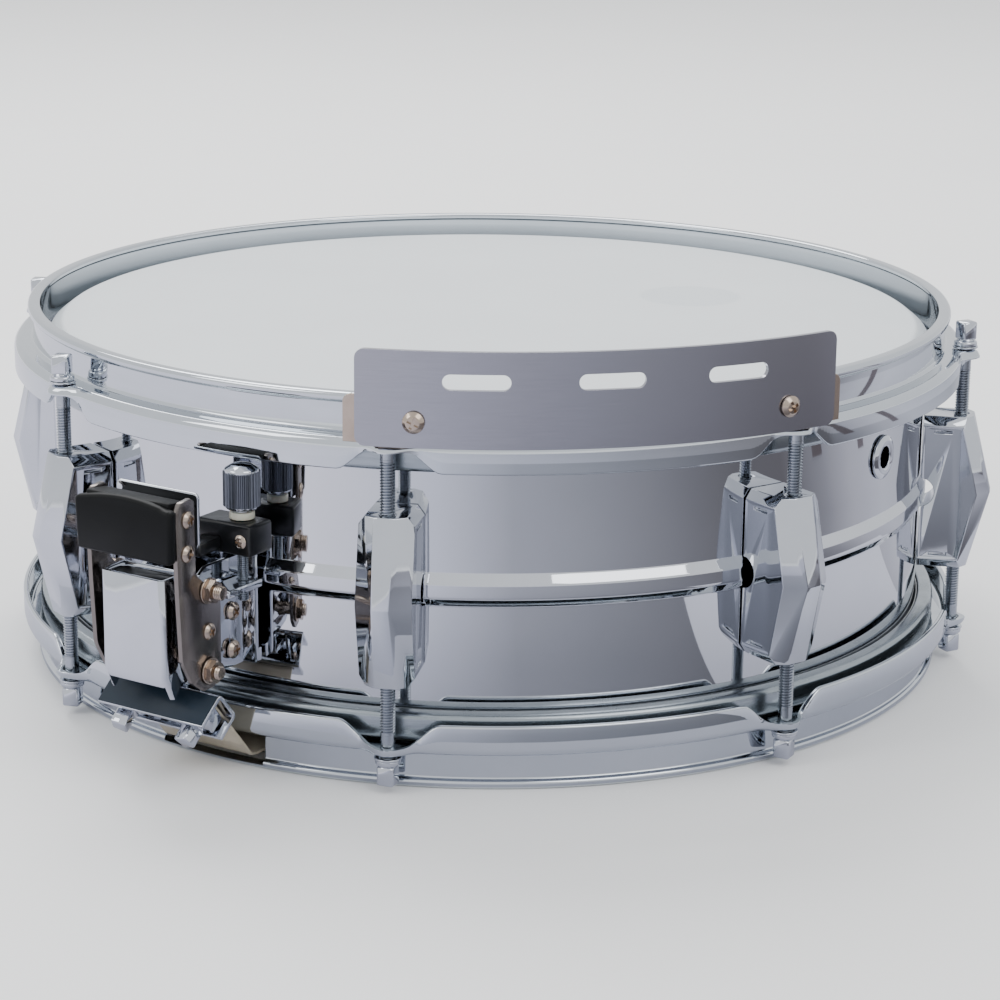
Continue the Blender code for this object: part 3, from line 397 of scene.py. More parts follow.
def pickOnly(piece):
    if bpy.context.object and bpy.context.object.mode != "OBJECT":
        bpy.ops.object.mode_set(mode="OBJECT")
    bpy.ops.object.select_all(action="DESELECT")
    if piece:
        piece.select_set(True)
        bpy.context.view_layer.objects.active = piece


def roundCorners(corners, closed=True, steps=4):
    # corners are (x, y, radius of the round)
    line = []
    last = len(corners) - 1
    for index, (x, y, radius) in enumerate(corners):
        here = Vector((x, y))
        if radius == 0 or (not closed and index in (0, last)):
            line.append((x, y))
            continue
        before = (Vector(corners[index - 1][:2]) - here).normalized()
        after = (Vector(corners[(index + 1) % len(corners)][:2]) - here).normalized()
        half = before.angle(after) / 2
        centre = here + (before + after).normalized() * radius / math.sin(half)
        start = here + before * radius / math.tan(half) - centre
        end = here + after * radius / math.tan(half) - centre
        first = math.atan2(start.y, start.x)
        sweep = (math.atan2(end.y, end.x) - first + math.pi) % (2 * math.pi) - math.pi
        for step in range(steps + 1):
            angle = first + sweep * step / steps
            line.append((centre.x + radius * math.cos(angle), centre.y + radius * math.sin(angle)))
    return line


def named(piece, name):
    piece.name = name
    piece.data.name = name
    return piece


def discard(*pieces):
    for piece in pieces:
        bpy.data.objects.remove(piece, do_unlink=True)


def mergeDoubles(distance=0.002):
    # in edit mode: everything selected, and points closer than this in mm made one
    bpy.ops.mesh.select_all(action="SELECT")
    bpy.ops.mesh.remove_doubles(threshold=distance * mm)


def drawLine(points, closed):
    # in edit mode: a plane is merged to one vertex, then extruded from point to point
    if closed:
        points = points + points[:1]
    bpy.ops.mesh.primitive_plane_add(size=mm, location=(0, 0, 0))
    bpy.ops.mesh.merge(type="CENTER")
    bpy.ops.transform.translate(value=points[0])
    for here, there in zip(points, points[1:]):
        step = Vector(there) - Vector(here)
        bpy.ops.mesh.extrude_vertices_move(TRANSFORM_OT_translate={"value": step})


def startPiece(name):
    # a new mesh object in edit mode, emptied for drawing
    pickOnly(None)
    bpy.ops.mesh.primitive_plane_add(size=mm, location=(0, 0, 0))
    piece = named(bpy.context.object, name)
    bpy.ops.object.mode_set(mode="EDIT")
    bpy.ops.mesh.select_mode(type="VERT")
    bpy.ops.mesh.select_all(action="SELECT")
    bpy.ops.mesh.delete(type="VERT")
    return piece


def closeUp():
    # in edit mode: doubles merged and faces turned outwards, then back to object mode
    mergeDoubles()
    bpy.ops.mesh.normals_make_consistent(inside=False)
    bpy.ops.object.mode_set(mode="OBJECT")


def turnedPiece(name, corners, steps=64, closed=True):
    # corners are (radius, height, round) in mm, turned about Z
    line = [(x * mm, 0, z * mm) for x, z in roundCorners(corners, closed)]
    piece = startPiece(name)
    drawLine(line, closed)
    mergeDoubles()
    bpy.ops.mesh.spin(steps=steps, angle=2 * math.pi, center=(0, 0, 0), axis=(0, 0, 1))
    closeUp()
    return piece


def cutPlate(name, loops, thickness, edge=0.0, segments=2):
    # flat loops of (x, y) in mm, filled, given a thickness along Z, with its edges broken
    piece = startPiece(name)
    for loop in loops:
        drawLine([(x * mm, y * mm, 0) for x, y in loop], True)
    mergeDoubles()
    if len(loops) > 1:
        bpy.ops.mesh.fill()
    else:
        bpy.ops.mesh.edge_face_add()
    bpy.ops.mesh.select_all(action="SELECT")
    bpy.ops.mesh.extrude_region_move(TRANSFORM_OT_translate={"value": (0, 0, thickness * mm)})
    closeUp()
    if edge:
        breakEdges(piece, edge, segments)
    return piece


def bentSheet(name, corners, half, thickness, edge):
    # a strip that follows (x, z, round) corners in mm, between y -half and +half
    piece = startPiece(name)
    line = roundCorners(corners, closed=False, steps=6)
    drawLine([(x * mm, -half * mm, z * mm) for x, z in line], False)
    mergeDoubles()
    bpy.ops.mesh.extrude_region_move(TRANSFORM_OT_translate={"value": (0, 2 * half * mm, 0)})
    closeUp()
    useModifier(piece, "SOLIDIFY", thickness=thickness * mm, offset=0.0)
    if edge:
        breakEdges(piece, edge)
    return piece


def arcSheet(name, inner, thickness, middle, half, low, high, steps):
    # part of a ring: a closed section spun through 2 x half degrees, its two ends filled
    piece = startPiece(name)
    section = [(inner, low), (inner + thickness, low), (inner + thickness, high), (inner, high)]
    drawLine([(x * mm, 0, z * mm) for x, z in section], True)
    mergeDoubles()
    bpy.ops.mesh.spin(steps=steps, angle=math.radians(2 * half), center=(0, 0, 0), axis=(0, 0, 1))
    bpy.ops.mesh.select_all(action="SELECT")
    bpy.ops.mesh.fill_holes(sides=0)
    closeUp()
    # the spin runs one way round, so the arc is centred from its own mean direction
    mean = sum((v.co for v in piece.data.vertices), Vector())
    return placed(piece, turn(middle - math.degrees(math.atan2(mean.y, mean.x))))


def cornerCuts(inner, middle, half, low, high, radius, ends=(-1, 1)):
    # what is taken off the corners of an arc, seen from outside
    cuts = []
    for side in (-1, 1):
        for up in ends:
            level = high if up > 0 else low
            outline = [(2, -radius), (2, 2), (-radius, 2)]
            for step in range(7):
                bend = math.pi / 2 * (1 - step / 6)
                outline.append((radius * (math.cos(bend) - 1), radius * (math.sin(bend) - 1)))
            outline = [(side * x, level + up * z) for x, z in outline]
            place = turn(middle + side * half) @ shift(inner - 6) @ facing
            cuts.append(placed(cutPlate("cornerCut", [outline], 12), place))
    return cuts


def useModifier(piece, kind, **settings):
    pickOnly(piece)
    step = piece.modifiers.new(kind.lower(), kind)
    for key, value in settings.items():
        setattr(step, key, value)
    bpy.ops.object.modifier_apply(modifier=step.name)


def breakEdges(piece, width, segments=2, angle=30, harden=True):
    # a small round on each sharp edge, which catches the light
    useModifier(
        piece, "BEVEL", width=width * mm, segments=segments, limit_method="ANGLE",
        angle_limit=math.radians(angle), harden_normals=harden, use_clamp_overlap=True,
    )


def cutAway(piece, cutters):
    for cutter in cutters:
        useModifier(piece, "BOOLEAN", operation="DIFFERENCE", solver="EXACT", object=cutter)
        discard(cutter)


def chooseVertices(piece, wanted):
    # in edit mode: only these vertices selected
    bpy.ops.mesh.select_all(action="DESELECT")
    bpy.ops.object.mode_set(mode="OBJECT")
    for index in wanted:
        piece.data.vertices[index].select = True
    bpy.ops.object.mode_set(mode="EDIT")


def chooseParts(piece, kind, wanted):
    # leaves the piece in edit mode with only the wanted faces or edges selected
    pickOnly(piece)
    bpy.ops.object.mode_set(mode="EDIT")
    bpy.ops.mesh.select_mode(type=kind)
    bpy.ops.mesh.select_all(action="DESELECT")
    bpy.ops.object.mode_set(mode="OBJECT")
    for part in piece.data.polygons if kind == "FACE" else piece.data.edges:
        part.select = wanted(part)
    bpy.ops.object.mode_set(mode="EDIT")


def placed(piece, matrix):
    # moves the mesh itself, so that the object stays at the origin
    piece.data.transform(matrix)
    if matrix.determinant() < 0:
        piece.data.flip_normals()
    return piece


def copied(piece, name, matrix):
    twin = piece.copy()
    twin.data = piece.data.copy()
    bpy.context.collection.objects.link(twin)
    return placed(named(twin, name), matrix)


def merged(name, parts):
    pickOnly(parts[0])
    for part in parts[1:]:
        part.select_set(True)
    bpy.ops.object.join()
    return named(bpy.context.object, name)


def dressed(piece, material, body, replaced=(), angle=30):
    pickOnly(piece)
    bpy.ops.object.shade_smooth_by_angle(angle=math.radians(angle))
    if material:
        piece.data.materials.clear()
        piece.data.materials.append(material)
    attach(piece, body)
    if replaced:
        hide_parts(*replaced)
    return piece


def shift(x=0.0, y=0.0, z=0.0):
    return Matrix.Translation((x * mm, y * mm, z * mm))


def turn(degrees, axis="Z"):
    return Matrix.Rotation(math.radians(degrees), 4, axis)


def box(name, low, high, edge=0.0, segments=2):
    # a cube at its size and place, in mm, with its edges rounded
    pickOnly(None)
    middle = [(a + b) / 2 * mm for a, b in zip(low, high)]
    size = [(b - a) * mm for a, b in zip(low, high)]
    bpy.ops.mesh.primitive_cube_add(size=1, location=(0, 0, 0))
    piece = named(bpy.context.object, name)
    piece.data.transform(Matrix.Translation(middle) @ Matrix.Diagonal((*size, 1)))
    if edge:
        breakEdges(piece, edge, segments)
    return piece


def pin(name, radius, low, high, sides=32, edge=0.0):
    # a cylinder along Z between two heights, in mm
    pickOnly(None)
    bpy.ops.mesh.primitive_cylinder_add(vertices=sides, radius=radius * mm, depth=(high - low) * mm)
    piece = named(bpy.context.object, name)
    piece.data.transform(Matrix.Translation((0, 0, (low + high) / 2 * mm)))
    if edge:
        breakEdges(piece, edge)
    return piece


def circle(x, y, radius, steps=24):
    angles = [2 * math.pi * i / steps for i in range(steps)]
    return [(x + radius * math.cos(angle), y + radius * math.sin(angle)) for angle in angles]


rodAngles = [drum["firstRod"] + 360 / drum["rods"] * i for i in range(drum["rods"])]
otherSide = shift(z=drum["midZ"]) @ Matrix.Diagonal((1, 1, -1, 1)) @ shift(z=-drum["midZ"])
toStrainer = turn(drum["strainerAngle"])
toButt = turn(drum["buttAngle"])
# a flat XY drawing stood up in X-Z with its thickness towards -Y, and one turned to Y-Z with it outwards
upright = Matrix(((1, 0, 0, 0), (0, 0, -1, 0), (0, 1, 0, 0), (0, 0, 0, 1)))
facing = Matrix(((0, 0, 1, 0), (1, 0, 0, 0), (0, 1, 0, 0), (0, 0, 0, 1)))


# shell: a rolled bead round its middle, its edges turned in under the heads

shellSizes = {"halfDepth": 63.3, "wall": 1.5, "bead": 2.2, "beadHalf": 5.6, "ventZ": -35.0, "ventRadius": 5.2}


def makeShell():
    s = shellSizes
    r, h, wall = drum["shellRadius"], s["halfDepth"], s["wall"]
    mid = drum["midZ"]
    bead = [
        (r, mid + s["beadHalf"] + 0.5, 1.4), (r + s["bead"], mid + 2.6, 2.2),
        (r + s["bead"], mid - 2.6, 2.2), (r, mid - s["beadHalf"] - 0.5, 1.4),
    ]
    inner = [(x - wall, z, 1.0) for x, z, _ in bead[::-1]]
    outside = [(r - 4.3, mid + h, 0.6), (r, mid + h - 3.8, 3.0), (r, -22.0, 0), (r, -48.0, 0)] + bead
    outside += [(r, mid - h + 3.8, 3.0), (r - 4.3, mid - h, 0.6)]
    inside = [(r - 5.0, mid - h + 1.2, 0.4), (r - wall, mid - h + 5.0, 2.0)] + inner
    inside += [(r - wall, -48.0, 0), (r - wall, -22.0, 0)]
    inside += [(r - wall, mid + h - 5.0, 2.0), (r - 5.0, mid + h - 1.2, 0.4)]
    shell = turnedPiece("shell_chromed", outside + inside, 360)
    hole = placed(pin("ventCut", s["ventRadius"], 165, 185, 48), shift(z=s["ventZ"]) @ turn(90, "Y"))
    cutAway(shell, [hole])
    dressed(shell, shellChrome, "drum", ["shell"])


makeShell()
print("shell made")


# heads and flesh hoops

headSizes = {"film": 0.35, "edgeRadius": 178.3, "collar": 26.0}


def makeHeads():
    s = headSizes
    edge, film = s["edgeRadius"], s["film"]
    foot = drum["rimTop"] - s["collar"] - 0.5
    top = [(0, 0.0, 0), (edge - 5.6, 0.0, 3.0), (edge - 0.1, -4.3, 3.0), (edge + 0.2, foot, 0)]
    under = [(edge - 0.15, foot, 0), (edge - 0.42, -4.3, 2.8), (edge - 5.6, -film, 2.8), (0, -film, 0)]
    batter = turnedPiece("batter_head_film", top + under, 256, closed=False)
    dressed(batter, batterFilm, "drum", ["batter_head"], 40)
    snare = copied(batter, "snare_side_head_film", otherSide)
    dressed(snare, snareFilm, "drum", ["snare_side_head"], 40)
    low = drum["rimTop"] - 27.5
    corners = [(178.9, low, 0.8), (184.8, low, 2.2), (184.8, low + 10.5, 2.2), (178.9, low + 10.5, 0.8)]
    ring = turnedPiece("batter_flesh_ring", corners, 256)
    dressed(ring, ringAluminium, "drum", ["batter_flesh_hoop"])
    twin = copied(ring, "snare_side_flesh_ring", otherSide)
    dressed(twin, ringAluminium, "drum", ["snare_side_flesh_hoop"])


makeHeads()
print("heads made")


# triple-flanged hoops: rolled rim, wall, rounded step and a skirt that dips to an ear at each rod

hoopSizes = {
    "steps": 768, "skirtEdge": 26.0, "dipTop": 17.3, "dipFlat": 6.0, "dipReach": 19.0,
    "earProud": 6.4, "earReach": 11.0, "earHole": 3.3, "gateHalf": 23.0,
}


def smooth(x):
    x = min(max(x, 0.0), 1.0)
    return x * x * (3 - 2 * x)


def makeHoops():
    s = hoopSizes
    corners = [
        (181.2, 0.0, 0.9), (186.2, 0.0, 1.4), (186.2, 2.9, 1.3), (184.4, 3.6, 0.9), (184.4, 14.3, 1.6),
        (192.0, 14.3, 3.2), (192.0, s["skirtEdge"], 0.8), (189.8, s["skirtEdge"], 0.8), (189.8, 16.6, 1.4),
        (182.2, 16.6, 0.8), (182.2, 2.6, 0.9), (181.2, 2.0, 0.5),
    ]
    hoop = turnedPiece("batter_hoop_chromed", [(r, drum["rimTop"] - d, e) for r, d, e in corners], s["steps"])
    top = (drum["rimTop"] - s["dipTop"]) * mm
    columns = {}
    for vertex in hoop.data.vertices:
        x, y, z = vertex.co
        angle = (math.degrees(math.atan2(y, x)) - drum["firstRod"] + 22.5) % 45 - 22.5
        column = round(abs(angle) / (360 / s["steps"]))
        columns.setdefault(column, []).append((vertex.index, math.hypot(x, y) / mm, z))
    pickOnly(hoop)
    bpy.ops.object.mode_set(mode="EDIT")
    bpy.ops.mesh.select_mode(type="VERT")
    for column, members in sorted(columns.items()):
        along = math.radians(column * 360 / s["steps"]) * drum["rodCircle"]
        if along > s["dipReach"]:
            continue
        # the skirt's edge rises to the step beside each rod
        share = smooth((along - s["dipFlat"]) / (s["dipReach"] - s["dipFlat"]))
        chooseVertices(hoop, [i for i, r, z in members if z < top])
        bpy.ops.transform.resize(value=(1, 1, 0.06 + 0.94 * share), center_override=(0, 0, top))
        # and the step and skirt swell outwards into the ear
        proud = s["earProud"] * (1 - smooth(along / s["earReach"]))
        if proud > 0:
            chooseVertices(hoop, [i for i, r, z in members if r > 188.3])
            grow = 1 + proud / 191.0
            bpy.ops.transform.resize(value=(grow, grow, 1), center_override=(0, 0, 0))
    bpy.ops.object.mode_set(mode="OBJECT")
    holes = []
    for angle in rodAngles:
        hole = pin("earCut", s["earHole"], -12, 0, 32)
        holes.append(placed(hole, turn(angle) @ shift(x=drum["rodCircle"])))
    cutAway(hoop, [merged("earCuts", holes)])
    lower = copied(hoop, "snare_side_hoop_chromed", otherSide)
    gates = []
    for side in (-1, 1):
        low, high = sorted((side * 175, side * 188))
        gates.append(box("gateCut", (-s["gateHalf"], low, -134.5), (s["gateHalf"], high, -123.0)))
    cutAway(lower, [merged("gateCuts", gates)])
    dressed(hoop, hoopChrome, "drum", ["batter_hoop"], 35)
    dressed(lower, hoopChrome, "drum", ["snare_side_hoop"], 35)


makeHoops()
print("hoops made")


# lugs: a cut block with a narrow two-facet front, framed side panels and a notch over the bead

lugSizes = {
    "back": 177.85, "side": 10.2, "half": 31.2, "panelHalf": 27.6, "notch": 5.9, "hole": 3.2, "edge": 0.28,
}


def sliceOff(piece, point, normal):
    # in object mode: cuts away what is beyond a plane and fills the cut
    pickOnly(piece)
    bpy.ops.object.mode_set(mode="EDIT")
    bpy.ops.mesh.select_all(action="SELECT")
    place = [v * mm for v in point]
    bpy.ops.mesh.bisect(plane_co=place, plane_no=Vector(normal).normalized(), use_fill=True, clear_outer=True)
    bpy.ops.object.mode_set(mode="OBJECT")


def makeLugs():
    s = lugSizes
    lug = box("lug", (s["back"], -s["side"], -s["half"]), (205.6, s["side"], s["half"]))
    for up in (-1, 1):
        sliceOff(lug, (205.6, 0, 0), (31.2, 0, up * 8.0))
        for side in (-1, 1):
            sliceOff(lug, (200.4, side * 10.2, 0), (198.7, side * 143.5, up * 46.1))
            sliceOff(lug, (190.0, side * 10.2, up * s["panelHalf"]), (0, side * 3.6, up * 2.6))
    # the side panels are sunk a little inside their frames
    chooseParts(lug, "FACE", lambda face: abs(face.normal.y) > 0.99)
    bpy.ops.mesh.inset(thickness=0.9 * mm, depth=-0.35 * mm)
    closeUp()
    cuts = [placed(pin("notchCut", s["notch"], -20, 20, 40), shift(s["back"] - 0.3) @ turn(90, "X"))]
    for up in (-1, 1):
        low, high = sorted((up * 12.2, up * 33.2))
        cuts.append(placed(pin("rodCut", s["hole"], low, high, 32), shift(drum["rodCircle"])))
        for side in (-1, 1):
            low, high = sorted((up * 24.6, up * 25.9))
            near, far = sorted((side * 8.6, side * 12.0))
            cuts.append(box("slotCut", (182.5, near, low), (189.5, far, high)))
    cutAway(lug, cuts)
    breakEdges(lug, s["edge"], 2, 22)
    for number, angle in enumerate(rodAngles, 1):
        twin = copied(lug, f"lug_{number}_cast", turn(angle) @ shift(z=drum["midZ"]))
        dressed(twin, castChrome, "drum", [f"lug_{number}"], 25)
    discard(lug)


makeLugs()
print("lugs made")


# tension rods: square key head, collar, washer, plain neck and a rolled thread

rodSizes = {
    "shank": 2.75, "root": 2.2, "pitch": 1.06, "neck": 8.5, "turns": 32, "head": 6.35, "headTop": 10.9,
}


def makeRods():
    s = rodSizes
    washer = turnedPiece("washer", [(2.9, 0.3, 0.2), (5.0, 0.3, 0.25), (5.0, 1.1, 0.25), (2.9, 1.1, 0.2)], 40)
    corners = [(0, 4.4, 0), (2.9, 4.4, 0.4), (3.4, 3.4, 0.5), (4.6, 2.9, 0.8), (4.6, 1.25, 0.3), (0, 1.25, 0)]
    collar = turnedPiece("collar", corners, 40, closed=False)
    half = s["head"] / 2
    head = box("keyHead", (-half, -half, 3.6), (half, half, s["headTop"]), 0.75, 3)
    neck = pin("neck", s["shank"] - 0.1, -s["neck"] - 0.4, 1.5, 32)
    thread = startPiece("thread")
    root, shank, pitch = s["root"], s["shank"], s["pitch"]
    tooth = [(root, 0), (shank, 0.36 * pitch), (shank, 0.62 * pitch), (root, pitch)]
    drawLine([(x * mm, 0, z * mm) for x, z in tooth], False)
    bpy.ops.object.mode_set(mode="OBJECT")
    useModifier(
        thread, "SCREW", axis="Z", angle=2 * math.pi, screw_offset=pitch * mm, iterations=s["turns"],
        steps=16, render_steps=16, use_merge_vertices=True, merge_threshold=0.01 * mm,
        use_normal_calculate=True,
    )
    placed(thread, shift(z=-s["neck"] - s["turns"] * s["pitch"]))
    pickOnly(thread)
    bpy.ops.object.mode_set(mode="EDIT")
    closeUp()
    core = pin("core", s["root"] + 0.05, -43.0, -s["neck"], 24)
    top = merged("keyHead", [washer, collar, head])
    rod = merged("rod", [neck, thread, core])
    guardRods = (drum["guardAngle"] - 22.5, drum["guardAngle"] + 22.5)
    for number, angle in enumerate(rodAngles, 1):
        under = any(abs((angle - other + 180) % 360 - 180) < 1 for other in guardRods)
        lift = 1.5 if under else 0.0
        place = turn(angle) @ shift(drum["rodCircle"], 0, drum["earTop"] + lift)
        below = shift(drum["rodCircle"], 0, 2 * drum["midZ"] - drum["earTop"])
        mirrored = turn(angle) @ below @ turn(180, "X")
        # key heads are left at any angle
        places = (("batter", place @ turn(37 * number % 90)), ("snare", mirrored @ turn(53 * number % 90)))
        for end, where in places:
            body = f"{end}_tension_rod_{number}"
            dressed(copied(rod, f"{end}_rod_{number}", where), threadChrome, body, [body], 32)
            dressed(copied(top, f"{end}_rod_head_{number}", where), castChrome, body, angle=32)
    discard(rod, top)


makeRods()
print("rods made")


# guard plate: an arc round the rim, its corners rounded and its slots cut through it

guardSizes = {
    "inner": 199.3, "thickness": 1.8, "halfAngle": 25.3, "bottom": -6.4, "height": 34.0, "corner": 3.4,
    "slotAngles": (-13.3, 0.0, 13.3), "slotLength": 23.5, "slotHeight": 5.6, "slotZ": 17.0,
    "screwAngle": 19.4, "screwZ": 2.8,
}


def makeGuard():
    s = guardSizes
    low, high, middle = s["bottom"], s["bottom"] + s["height"], drum["guardAngle"]
    plate = arcSheet("guard_plate_satin", s["inner"], s["thickness"], middle, s["halfAngle"], low, high, 96)
    cuts = cornerCuts(s["inner"], middle, s["halfAngle"], low, high, s["corner"])
    a, b = s["slotLength"] / 2, s["slotHeight"] / 2
    ends = [(-a, s["slotZ"] - b), (a, s["slotZ"] - b), (a, s["slotZ"] + b), (-a, s["slotZ"] + b)]
    outline = roundCorners([(x, z, b * 0.98) for x, z in ends], steps=6)
    for angle in s["slotAngles"]:
        place = turn(middle + angle) @ shift(s["inner"] - 6) @ facing
        cuts.append(placed(cutPlate("slotCut", [outline], 12), place))
    cutAway(plate, [merged("guardCuts", cuts)])
    breakEdges(plate, 0.25, 2, 40, False)
    dressed(plate, guardSatin, "drum", ["guard_plate"], 40)
    useModifier(plate, "WEIGHTED_NORMAL", mode="FACE_AREA", weight=100, keep_sharp=True)


makeGuard()


# guard brackets: an upright behind the plate and a foot that the tension rod clamps

bracketSizes = {
    "sheet": 1.2, "radius": 197.7, "low": -5.9, "height": 17.0, "half": 4.6, "footHalf": 2.9, "near": 188.0,
}


def makeBrackets():
    s = bracketSizes
    for side, word in sides:
        rodAngle = drum["guardAngle"] + side * 22.5
        low, high, middle = s["low"], s["low"] + s["height"], rodAngle - side * 0.4
        sheet = arcSheet("sheet", s["radius"], s["sheet"], middle, s["half"], low, high, 16)
        cuts = cornerCuts(s["radius"], middle, s["half"], low, high, 3.0, (1,))
        cutAway(sheet, [merged("bracketCuts", cuts)])
        breakEdges(sheet, 0.22, 2, 40, False)
        half = math.radians(s["footHalf"]) * drum["rodCircle"]
        corners = [(s["near"], -half, 2.5), (198.4, -half, 0), (198.4, half, 0), (s["near"], half, 2.5)]
        foot = cutPlate("foot", [roundCorners(corners), circle(drum["rodCircle"], 0, 3.3)], s["sheet"], 0.2)
        placed(foot, turn(rodAngle) @ shift(z=low))
        bracket = merged(f"guard_bracket_{word}_bent", [sheet, foot])
        dressed(bracket, warmNickel, "drum", [f"guard_bracket_{word}"], 40)
        useModifier(bracket, "WEIGHTED_NORMAL", mode="FACE_AREA", weight=100, keep_sharp=True)


makeBrackets()
print("guard plate and brackets made")


# vent grommet: a rolled eyelet through the shell

def makeGrommet():
    corners = [
        (4.2, 179.2, 0.5), (6.5, 179.6, 1.4), (8.6, 178.6, 0.6), (8.6, 177.8, 0.2), (4.9, 177.8, 0),
        (4.9, 175.5, 0), (6.8, 175.5, 0.2), (6.8, 174.7, 0.3), (4.2, 174.7, 0.3),
    ]
    grommet = turnedPiece("vent_grommet_rolled", corners, 64)
    placed(grommet, shift(z=shellSizes["ventZ"]) @ turn(90, "Y"))
    dressed(grommet, castChrome, "drum", ["vent_grommet"], 40)


makeGrommet()
print("grommet made")


# cross-head pan screws

def makeScrew(name, radius, height, shank, length):
    # along Z with the underside of its head at zero, a cross recess in its dome
    corners = [
        (0, height, 0), (radius * 0.62, height * 0.93, 1.0), (radius, height * 0.35, 0.3), (radius, 0, 0.15),
        (shank, 0, 0), (shank, -length, 0.2), (0, -length, 0),
    ]
    screw = turnedPiece(name, corners, 32, closed=False)
    wide, deep = radius * 0.55, height * 0.55
    arms = [
        box("crossCut", (-wide, -wide * 0.26, height - deep), (wide, wide * 0.26, height + 1)),
        box("crossCut", (-wide * 0.26, -wide, height - deep), (wide * 0.26, wide, height + 1)),
    ]
    cutAway(screw, arms)
    return screw


def makeGuardScrews():
    s = guardSizes
    screw = makeScrew("guardScrew", 3.9, 2.2, 1.4, 2.6)
    for side, word in sides:
        angle = drum["guardAngle"] + side * s["screwAngle"]
        outer = s["inner"] + s["thickness"] + 0.3
        place = turn(angle) @ shift(outer, 0, s["screwZ"]) @ turn(90, "Y") @ turn(25 * side)
        twin = copied(screw, f"guard_screw_{word}_pan", place)
        dressed(twin, warmNickel, "drum", [f"guard_screw_{word}"], 32)
    discard(screw)


makeGuardScrews()
print("guard screws made")


# strainer, drawn with X outwards, Y along the rim and Z up

strainerSizes = {
    "cheekIn": 11.5, "cheek": 1.6, "armIn": 18.5, "arm": 1.8,
    "pivotR": 211.0, "pivotZ": -91.0, "pinRadius": 2.5,
    "screwR": 189.0, "screwZ": (-76.0, -90.5), "coverHalf": 14.2, "coverSheet": 1.4,
    "knobR": 189.5, "knobSide": 19.0, "knobRadius": 6.7, "ribs": 30,
    "screwTurns": 38, "screwPitch": 0.78, "screwHole": 2.5,
    "clampR": 211.0, "clampZ": -109.5, "clampTilt": 40.0, "clampHalf": 24.0, "boltSide": 15.0,
}
toClamp = shift(strainerSizes["clampR"], 0, strainerSizes["clampZ"]) @ turn(strainerSizes["clampTilt"], "Y")


def sheetAcross(name, loops, near, far, edge):
    # a plate drawn in X-Z, standing between two distances along the rim
    low, high = sorted((near, far))
    return placed(cutPlate(name, loops, high - low, edge), shift(y=high) @ upright)


def makeBase():
    s = strainerSizes
    outline = roundCorners([(-19, -97.3, 2), (19, -97.3, 2), (19, -50, 2), (-19, -50, 2)])
    plate = cutPlate("strainer_base_plate", [outline], 2.0, 0.3)
    placed(plate, shift(181.0) @ facing)
    feet = [box("foot", (177.9, -18, z), (182.0, 18, z + 5), 0.3) for z in (-96.8, -55.5)]
    outline = [
        (182.0, -56.0, 0), (203.0, -56.0, 3), (209.5, -60.0, 4),
        (217.0, -84.0, 5), (217.0, -97.0, 4), (182.0, -97.0, 0),
    ]
    cheeks = []
    for side in (-1, 1):
        loops = [roundCorners(outline), circle(s["pivotR"], s["pivotZ"], s["pinRadius"] + 0.3)]
        loops += [circle(s["screwR"], z, 2.0) for z in s["screwZ"]]
        near = side * s["cheekIn"]
        cheeks.append(sheetAcross("cheek", loops, near, near + side * s["cheek"], 0.3))
    base = merged("strainer_base_bent", [plate, *feet, *cheeks])
    cutAway(base, [box("shelfCut", (183.6, 5, -69.6), (206.0, 16, -62.2))])
    placed(base, toStrainer)
    dressed(base, castChrome, "drum", ["strainer_base"])


def makeCover():
    s = strainerSizes
    half, sheet = s["coverHalf"], s["coverSheet"]
    cover = box("strainer_cover_bent", (214.8, -half, -99.5), (228.4, half, -55.0))
    sliceOff(cover, (228.4, 0, -91.0), (8.5, 0, -4.2))
    sliceOff(cover, (214.8, 0, -89.5), (-10.0, 0, -8.0))

    def upTheFront(edge):
        ends = [cover.data.vertices[i].co for i in edge.vertices]
        onCorner = all(abs(abs(e.y) - half * mm) < 0.01 * mm and e.x > 219 * mm for e in ends)
        return onCorner and abs(ends[0].z - ends[1].z) > 3 * mm

    chooseParts(cover, "EDGE", upTheFront)
    bpy.ops.mesh.bevel(offset=2.4 * mm, segments=6, affect="EDGES")
    chooseParts(cover, "FACE", lambda face: face.normal.z > 0.99)
    bpy.ops.mesh.inset(thickness=sheet * mm)
    bpy.ops.mesh.extrude_region_move(TRANSFORM_OT_translate={"value": (0, 0, -4.0 * mm)})
    closeUp()
    hollow = box("hollowCut", (205, -half + sheet, -110), (226.6, half - sheet, -62.0))
    cutAway(cover, [hollow])
    for side in (-1, 1):
        near, far = sorted((side * 10.9, side * 13.5))
        cutAway(cover, [box("cheekCut", (205, near, -110), (217.4, far, -76))])
    breakEdges(cover, 0.45, 3, 40)
    placed(cover, toStrainer)
    dressed(cover, castChrome, "drum", ["strainer_cover"], 28)
    wide = half - sheet - 0.2
    insert = box("strainer_cover_insert", (216.4, -wide, -60.6), (226.8, wide, -56.4), 0.5, 3)
    placed(insert, toStrainer)
    dressed(insert, blackNylon, "drum")


